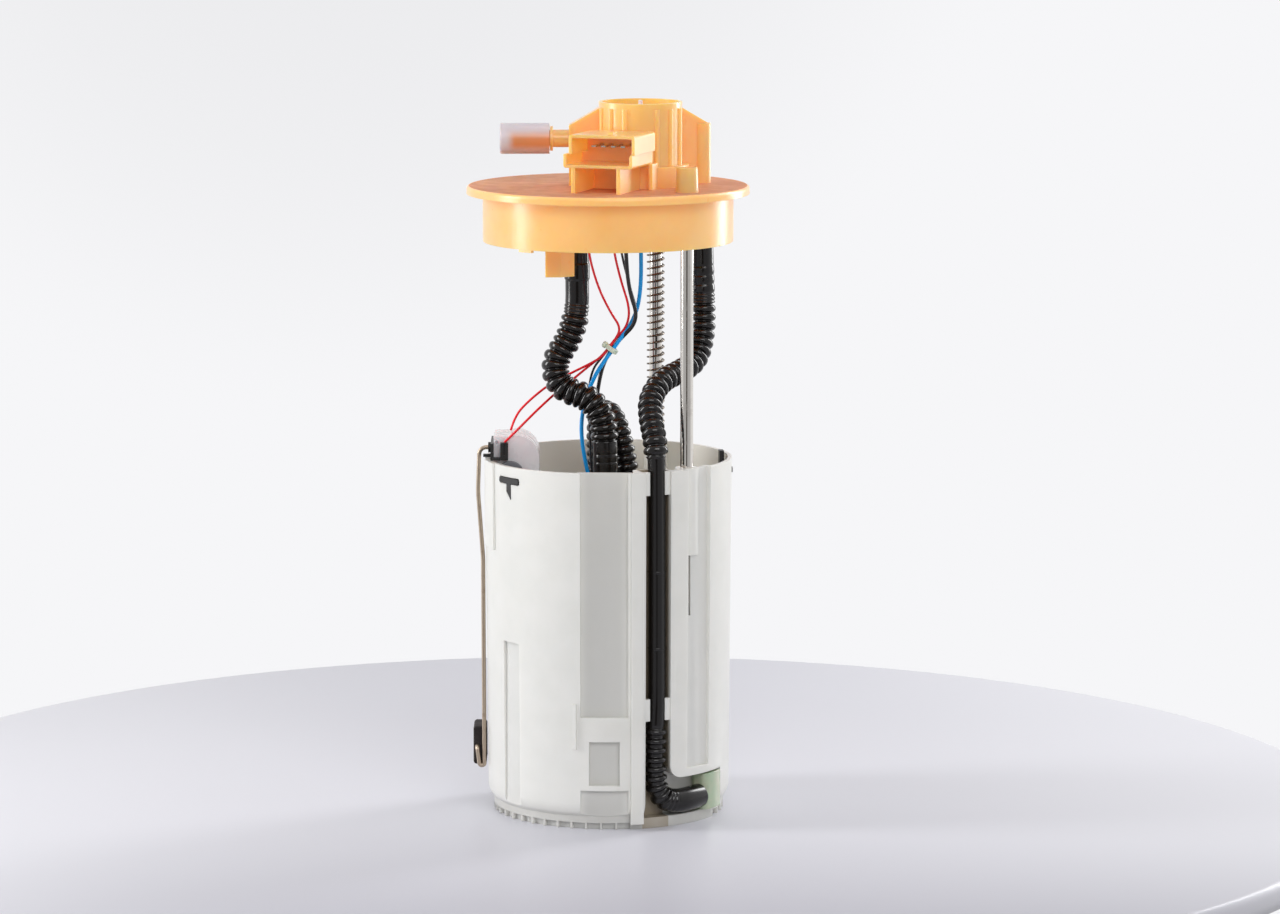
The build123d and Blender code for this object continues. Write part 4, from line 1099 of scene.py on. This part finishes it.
HOSES = (
    Hose(
        name="supply_hose",
        route=(
            (-15.4, 0.0, 295.7), (-15.5, 0.1, 270.0), (-15.2, -0.3, 251.0), (-19.0, -1.8, 237.0),
            (-27.5, -5.0, 225.0), (-24.0, -8.0, 212.5), (-10.5, -11.0, 209.0), (-3.0, -12.6, 200.0),
            (-1.3, -13.2, 184.0), (-1.6, -13.0, 160.0), (-1.5, -13.0, 118.3),
        ),
        size=12.6,
        stretches=(
            Stretch(0.0, 6.0), Stretch(22.0, 6.3), Stretch(30.0, 5.9),
            Stretch(42.0, 6.2, 5.75, 1.85, 0.8), Stretch(47.6, 6.95, 5.2, 4.2), Stretch(124.2, 6.1),
            Stretch(130.0, 6.15, 5.95, 3.8, 0.9), Stretch(137.6, 6.0),
        ),
        fold=CUP_FOLD,
    ),
    Hose(
        name="link_hose",
        route=(
            (11.5, 0.5, 118.3), (11.53, 0.55, 139.0), (10.8, 1.2, 156.0), (9.3, 1.8, 170.0),
            (6.2, 3.6, 186.0), (3.2, 8.2, 194.5), (-0.4, 13.8, 198.5), (-4.6, 20.8, 195.5),
            (-5.2, 22.4, 181.0), (-4.9, 21.9, 160.0), (-5.0, 22.0, 138.3),
        ),
        size=11.6,
        stretches=(Stretch(0.0, 5.6), Stretch(18.0, 6.1, 4.6, 4.2), Stretch(135.6, 5.6)),
    ),
    Hose(
        name="return_hose",
        route=(
            (46.5, 12.0, 295.7), (46.8, 12.05, 271.0), (47.6, 11.4, 251.0), (47.4, 8.6, 237.0),
            (44.0, 2.0, 225.0), (35.5, -10.0, 221.0), (26.6, -20.5, 218.5), (20.4, -30.0, 210.5),
            (20.6, -38.5, 202.0), (22.6, -46.5, 193.5), (23.3, -50.0, 186.5), (23.7, -50.2, 178.6),
            (23.8, -50.1, 66.0), (23.4, -50.8, 56.0), (22.9, -51.3, 47.0), (22.68, -51.42, 24.0),
            (25.2, -50.8, 15.2), (31.8, -47.6, 12.2), (39.2, -42.3, 12.3), (44.5, -34.65, 12.4),
        ),
        size=10.4,
        stretches=(
            Stretch(0.0, 5.7), Stretch(24.0, 5.9, 5.55, 4.6, 0.9), Stretch(38.0, 5.9, 5.3, 1.8, 0.8),
            Stretch(43.4, 6.1, 4.4, 4.35), Stretch(149.0, 4.4), Stretch(204.5, 4.6, 4.4, 1.6, 0.6),
            Stretch(206.1, 4.4), Stretch(242.5, 4.6, 4.4, 1.6, 0.6), Stretch(244.1, 4.4),
            Stretch(282.4, 5.75, 4.2, 4.66, 0.6), Stretch(319.68, 5.9, 5.4, 2.0, 0.8),
            Stretch(325.68, 5.9),
        ),
        fold=RETURN_FOLD,
    ),
)


# ---------- wires and their tie


@dataclass(frozen=True)
class Wire(Cord):
    """One insulated wire between the flange and the cup."""

    fold: Fold | None = WIRE_FOLD
    ending: str = "jacket"
    stiffness: str = "medium"
    sides: int = 14


@dataclass(frozen=True)
class CableTie:
    """The nylon tie that bundles the wires: a band, its head and the cut tail."""

    centre: Vector = Vector((1.5, 2.0, 231.0))
    along: Vector = Vector((-0.58, 0.05, -0.81)).normalized()
    side: Vector = Vector((0.0, 1.0, 0.0))
    inner: float = 2.75
    wall: float = 0.85
    width: float = 2.6
    band_sides: int = 40
    band_section: tuple[tuple[float, float], ...] = ((0.0, -0.5), (0.0, 0.5), (1.0, 0.42), (1.0, -0.42))
    head: Triple = (2.4, 3.4, 3.2)
    head_ease: float = 0.4
    head_sunk: float = 0.2
    tail: Triple = (1.2, 6.6, 2.2)
    tail_ease: float = 0.2
    tail_offset: float = 0.6
    half: float = 5.0

    @property
    def up(self) -> Vector:
        """Give the direction across the bundle that the head points away from."""
        return self.along.cross(self.side)

    def passage(self, across: float, aside: float) -> tuple[Triple, Triple]:
        """Give two points that carry a wire straight through the tie.

        Args:
            across: How far the wire lies from the middle along the up direction.
            aside: How far it lies to the side.

        Returns:
            The point before the tie and the point after it, in millimetres.
        """
        middle = self.centre + self.up * across + self.side * aside
        return tuple(middle - self.along * self.half), tuple(middle + self.along * self.half)

    def _block(self, mesh: bmesh.types.BMesh, place: Triple, size: Triple, ease: float) -> None:
        """Add an eased block in the tie's own axes.

        Args:
            mesh: The mesh that grows.
            place: Its centre along up, side and the bundle.
            size: Its sides in the same order.
            ease: The width of its chamfers.
        """
        turn = Matrix((self.up, self.side, self.along)).transposed().to_4x4()
        spot = Matrix.Translation(self.centre * MM) @ turn @ Matrix.Translation(Vector(place) * MM)
        made = bmesh.ops.create_cube(mesh, size=MM, matrix=spot @ Matrix.Diagonal((*size, 1.0)))
        edges = {edge for vertex in made["verts"] for edge in vertex.link_edges}
        bmesh.ops.bevel(mesh, geom=list(edges), offset=ease * MM, segments=2, affect="EDGES")

    def build(self, palette: Palette) -> None:
        """Make the tie.

        Args:
            palette: The finishes.
        """
        mesh = bmesh.new()
        rings = []
        for i in range(self.band_sides):
            turn = 2 * math.pi * i / self.band_sides
            spoke = self.up * math.cos(turn) + self.side * math.sin(turn)
            ring = []
            for out, share in self.band_section:
                radius = self.inner + self.wall * out
                place = self.centre + spoke * radius + self.along * (self.width * share)
                ring.append(mesh.verts.new(place * MM))
            rings.append(ring)
        join_rings(mesh, zip(rings, rings[1:] + rings[:1]))
        middle = self.head_sunk - self.inner - self.head[0] / 2
        self._block(mesh, (middle, 0.0, 0.0), self.head, self.head_ease)
        self._block(mesh, (middle - self.tail_offset, 0.0, 0.0), self.tail, self.tail_ease)
        piece = piece_from("cable_tie_band", mesh, palette["tie_nylon"], smooth=False)
        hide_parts("cable_tie")
        WIRE_FOLD.apply(piece)
        LOG.info("%s: band %.1f mm wide", piece.name, self.width)


@dataclass(frozen=True)
class Harness:
    """The five wires and the tie that holds them, in millimetres."""

    plug_top: float
    housing_top: float
    start: float = 302.7
    plug_gap: float = 0.3
    housing_gap: float = 0.2
    tie: CableTie = CableTie()

    def wires(self) -> tuple[Wire, ...]:
        """Lay the wires from the flange, through the tie, to the pump's plug and the sender.

        Returns:
            The wires.
        """
        start = self.start
        through = self.tie.passage
        plug_end = self.plug_top + self.plug_gap
        housing_end = self.housing_top + self.housing_gap
        return (
            Wire("red_wire_upper", 1.2, (
                (-10.8, -15, start), (-10.6, -13, 284), (-5.5, -8, 264), (1.0, -3, 250), (6.4, -1.2, 241.8),
                *through(-1.2, -1.2), (-9.0, 2.6, 223.5), (-18, 3.6, 219), (-29.6, 3.5, 213),
                (-39.5, 3.0, 205.0), (-46.5, 2.4, 197.5), (-48.6, 2.0, housing_end),
            ), "red_jacket", "red_wire"),
            Wire("red_wire_lower", 1.2, (
                (1.2, -15, start), (2.0, -13, 285), (6.0, -9, 267), (10.8, -5, 252), (9.3, 0.3, 242.2),
                *through(-1.5, 0.1), (-9.2, 4.2, 222.5), (-17, 4.2, 216), (-26.3, 0.6, 209),
                (-34.5, -8.0, 202.5), (-41.5, -16.0, 196.5), (-47.0, -17.6, 191.0), (-51.3, -16.9, 186.9),
            ), "red_jacket", "red_wire"),
            Wire("black_wire_thin", 1.2, (
                (4.0, -15, start), (5.5, -10, 284), (10.8, -2.5, 262), (15.2, 4.5, 247.5),
                *through(-1.1, 1.5), (-8.4, 5.6, 220), (-10.2, 8.0, 205), (-9.2, 8.5, 190),
                (-8.5, 7.6, 168), (-6.0, 5.2, 148), (-5.4, 4.6, plug_end),
            ), "black_jacket", "black_wire"),
            Wire("black_wire_thick", 2.0, (
                (8.2, -15, start), (8.5, -12.5, 284), (10.0, -8, 262), (15.4, -3.4, 246.0),
                *through(0.5, 1.1), (-4.0, 4.6, 218), (-6.2, 5.1, 203), (-6.5, 5.0, 185),
                (-5.0, 4.5, 165), (-2.0, 3.6, 146), (-0.9, 3.0, plug_end),
            ), "black_jacket", "black_wire"),
            Wire("blue_wire", 2.0, (
                (15.8, -15, start), (16.2, -12, 285), (16.3, -5, 262), (13.6, 1.2, 247.0),
                *through(0.7, -1.0), (-6.5, 2.4, 218), (-11.5, 3.0, 206), (-13.8, 3.0, 193),
                (-12.5, 2.8, 179), (-9.0, 2.0, 163), (-5.5, 1.4, 146), (-4.6, 1.2, plug_end),
            ), "blue_jacket", "blue_wire"),
        )

    def build(self, palette: Palette) -> None:
        """Make the wires and the tie.

        Args:
            palette: The finishes.
        """
        for piece in (*self.wires(), self.tie):
            piece.build(palette)


# ---------- spring


@dataclass(frozen=True)
class RodSpring:
    """The compression spring round the rear rod, with closed end coils."""

    centre: tuple[float, float] = (24.0, 48.2)
    low: float = 178.4
    high: float = 308.9
    outer: float = 4.6
    wire: float = 0.95
    turns: float = 40.0
    closed: float = 1.5
    closed_pitch: float = 1.02
    steps_a_turn: int = 26
    sides: int = 10
    travel: float = 80.0

    def height(self, turn: float) -> float:
        """Give the height of the wire's centre after so many turns.

        Args:
            turn: Turns from the lower end.

        Returns:
            The height in millimetres.
        """
        coil = self.wire * self.closed_pitch
        bottom = self.low + self.wire / 2
        top = self.high - self.wire / 2
        if turn < self.closed:
            return bottom + coil * turn / self.closed
        if turn > self.turns - self.closed:
            return top - coil * (self.turns - turn) / self.closed
        open_turns = self.turns - 2 * self.closed
        return bottom + coil + (top - bottom - 2 * coil) * (turn - self.closed) / open_turns

    def build(self, palette: Palette) -> None:
        """Make the spring.

        Args:
            palette: The finishes.
        """
        radius = self.outer - self.wire / 2
        frames = []
        for i in range(round(self.turns * self.steps_a_turn) + 1):
            turn = i / self.steps_a_turn
            angle = 2 * math.pi * turn
            out = Vector((math.cos(angle), math.sin(angle), 0.0))
            middle = Vector((*self.centre, self.height(turn))) + out * radius
            frames.append((middle * MM, out, UPWARD))
        mesh = tube(frames, [MM * self.wire / 2] * len(frames), self.sides)
        piece = piece_from("rod_spring", mesh, palette["spring_wire"])
        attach(piece, Body.RESERVOIR.value)
        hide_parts("spring")
        anchor = metres((*self.centre, self.low))
        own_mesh(piece)
        LOG.info("%s: %.0f turns", piece.name, self.turns)


# ---------- carried-over nodes


DRESSED: dict[str, tuple[str, ...]] = {
    "orange_acetal": ("flange_cover",),
    "tinned_blade": ("connector_pins",),
    "white_housing": ("tower_valve", "sender_housing"),
    "polished_rod": ("guide_rod_front", "guide_rod_rear"),
    "spring_wire": ("rod_clip", "sender_wiper", "spring_seat"),
    "milky_cap": ("transport_cap",),
    "cup_acetal": ("reservoir_cup",),
    "rolled_can": ("pump_can",),
    "cast_alloy": ("pump_inlet_cover",),
    "strainer_mesh": ("inlet_strainer",),
    "black_elastomer": ("pump_sleeve", "foot_valve"),
    "black_moulding": ("pump_outlet_cap", "pump_holder", "pressure_regulator", "pump_plug", "sender_bracket",
                       "sender_terminals", "sender_hub"),
    "green_fitting": ("jet_fitting",),
    "ceramic_card": ("sender_card",),
    "grey_moulding": ("sender_disc",),
    "arm_wire": ("float_arm_wire",),
    "float_foam": ("float",),
}


def dress_nodes(nodes: dict[str, bpy.types.Object], palette: Palette) -> None:
    """Give each carried-over node its finish.

    Args:
        nodes: The frame's nodes.
        palette: The finishes.
    """
    for finish, names in DRESSED.items():
        for name in names:
            materials = nodes[name].data.materials
            materials.clear()
            materials.append(palette[finish])
            LOG.info("%s: %s", name, finish)


# ---------- studio


@dataclass(frozen=True)
class Softbox:
    """One area lamp."""

    name: str
    place: Triple
    size: tuple[float, float]
    power: float
    aim: Triple = (0.0, 0.0, 0.2)

    def build(self) -> None:
        """Hang the lamp."""
        data = bpy.data.lights.new(self.name, "AREA")
        data.shape = "RECTANGLE"
        data.size, data.size_y = self.size
        data.energy = self.power
        lamp = add_object(self.name, data)
        lamp.location = self.place
        lamp.rotation_euler = (Vector(self.aim) - Vector(self.place)).to_track_quat("-Z", "Y").to_euler()


@dataclass(frozen=True)
class Studio:
    """Round pale table, white surround, soft lamps and the camera."""

    eye: Triple = (0.0, -2.510, 0.5436)
    pitch: float = 8.31
    yaw: float = 0.36
    lens: float = 143.2
    sensor: float = 36.0
    farthest: float = 50.0
    table_radius: float = 0.384
    table_centre: tuple[float, float] = (-0.009, 0.029)
    table_depth: float = 0.012
    table_edge: float = 0.004
    table_sides: int = 160
    # The table's finish, with painted light at its sides and painted shade at the front left.
    table_finish: Finish = TableTop("table_finish", tint(214, 214, 221), 0.38, painted_bright_sides=tint(225, 225, 230),
                                    shaded=tint(172, 171, 180))
    ambient: float = 0.58
    daylight: Triple = tint(252, 252, 255)
    overhead: Triple = tint(150, 148, 156)
    gloss_front: Triple = (0.5, 0.5, 0.51)
    gloss_gap: Triple = (0.06, 0.05, 0.04)
    gloss_back: Triple = (0.9, 0.9, 0.91)
    background_middle: Triple = (-0.05, 1.0, 0.0)
    white_ahead: Triple = tint(236, 236, 238)
    white_around: Triple = tint(246, 246, 248)
    lamps: tuple[Softbox, ...] = (
        Softbox("left_box", (-1.3, -0.1, 0.6), (0.32, 1.0), 12.0),
        Softbox("right_box", (1.0, 0.75, 0.6), (0.32, 1.0), 10.0),
        Softbox("fill_box", (0.5, -1.9, 1.35), (1.6, 1.0), 20.0),
        Softbox("top_box", (0.0, 0.2, 1.5), (1.2, 1.0), 2.0),
    )

    def camera(self) -> None:
        """Put the camera at the viewing angle."""
        data = bpy.data.cameras.new("camera")
        data.lens = self.lens
        data.sensor_width = self.sensor
        data.clip_end = self.farthest
        camera = add_object("camera", data)
        camera.location = self.eye
        camera.rotation_euler = Euler((math.radians(90 - self.pitch), 0.0, math.radians(-self.yaw)))
        bpy.context.scene.camera = camera

    def surround(self) -> None:
        """Light the set evenly, and show white behind it."""
        world = bpy.data.worlds.new("surround")
        bpy.context.scene.world = world
        world.use_nodes = True
        graph = Graph(world.node_tree)
        direction = graph.add("ShaderNodeTexCoord", output="Generated")
        near = graph.dot(direction, Vector(self.background_middle).normalized())
        white = graph.blend(self.white_around, self.white_ahead, near.step(0.990, 1.0))
        ahead = graph.axis("Y", direction)
        mirrored = graph.blend(self.gloss_front, self.gloss_back, ahead.step(-0.75, 0.15))
        mirrored = graph.blend(mirrored, self.gloss_gap, ahead.step(-0.96, -0.988))
        glossy = graph.ray("Glossy")
        shown = graph.add("ShaderNodeBackground", None, {"Color": graph.blend(white, mirrored, glossy)})
        level = graph.axis("Z", direction).step(0.15, 0.95)
        daylight = graph.blend(self.daylight, self.overhead, level)
        lit = graph.add("ShaderNodeBackground", None, {"Color": daylight, "Strength": self.ambient})
        # Rays from the camera, off a gloss or through a clear piece see the white; others are lit by it.
        seen = graph.ray("Camera").largest(glossy).largest(graph.ray("Transmission"))
        mixed = graph.add("ShaderNodeMixShader", None, {0: seen, 1: lit, 2: shown})
        graph.add("ShaderNodeOutputWorld", None, {"Surface": mixed})

    def table(self) -> None:
        """Stand the module on a round table with an eased edge."""
        mesh = bmesh.new()
        rim, edge, depth = self.table_radius, self.table_edge, self.table_depth
        profile = ((0.0, 0.0), (rim - edge, 0.0), (rim - edge / 4, -edge / 4), (rim, -edge), (rim, -depth),
                   (0.0, -depth))
        centre = Vector((*self.table_centre, 0.0))
        verts = [mesh.verts.new(centre + Vector((x, 0.0, z))) for x, z in profile]
        edges = [mesh.edges.new(pair) for pair in zip(verts, verts[1:])]
        bmesh.ops.spin(mesh, geom=verts + edges, cent=centre, axis=UPWARD, angle=2 * math.pi,
                       steps=self.table_sides, use_merge=True)
        bmesh.ops.remove_doubles(mesh, verts=mesh.verts, dist=1e-6)
        table = piece_from("table", mesh, self.table_finish.build())

    def build(self) -> None:
        """Set up everything round the module but the camera."""
        self.surround()
        self.table()
        for lamp in self.lamps:
            lamp.build()
        bpy.context.scene.view_settings.view_transform = "Standard"


# ---------- making


def main() -> None:
    """Load the frame, dress it and set the studio round it."""
    logging.basicConfig(level=logging.INFO, format="%(message)s")
    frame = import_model()
    studio = Studio()
    studio.camera()
    palette = Palette()
    plug_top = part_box("pump_plug")[1][2] / MM
    housing_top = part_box("sender_housing")[1][2] / MM
    for hose in HOSES:
        hose.build(palette)
    Harness(plug_top, housing_top).build(palette)
    RodSpring().build(palette)
    dress_nodes(frame["nodes"], palette)
    studio.build()


if __name__ == "__main__":
    main()
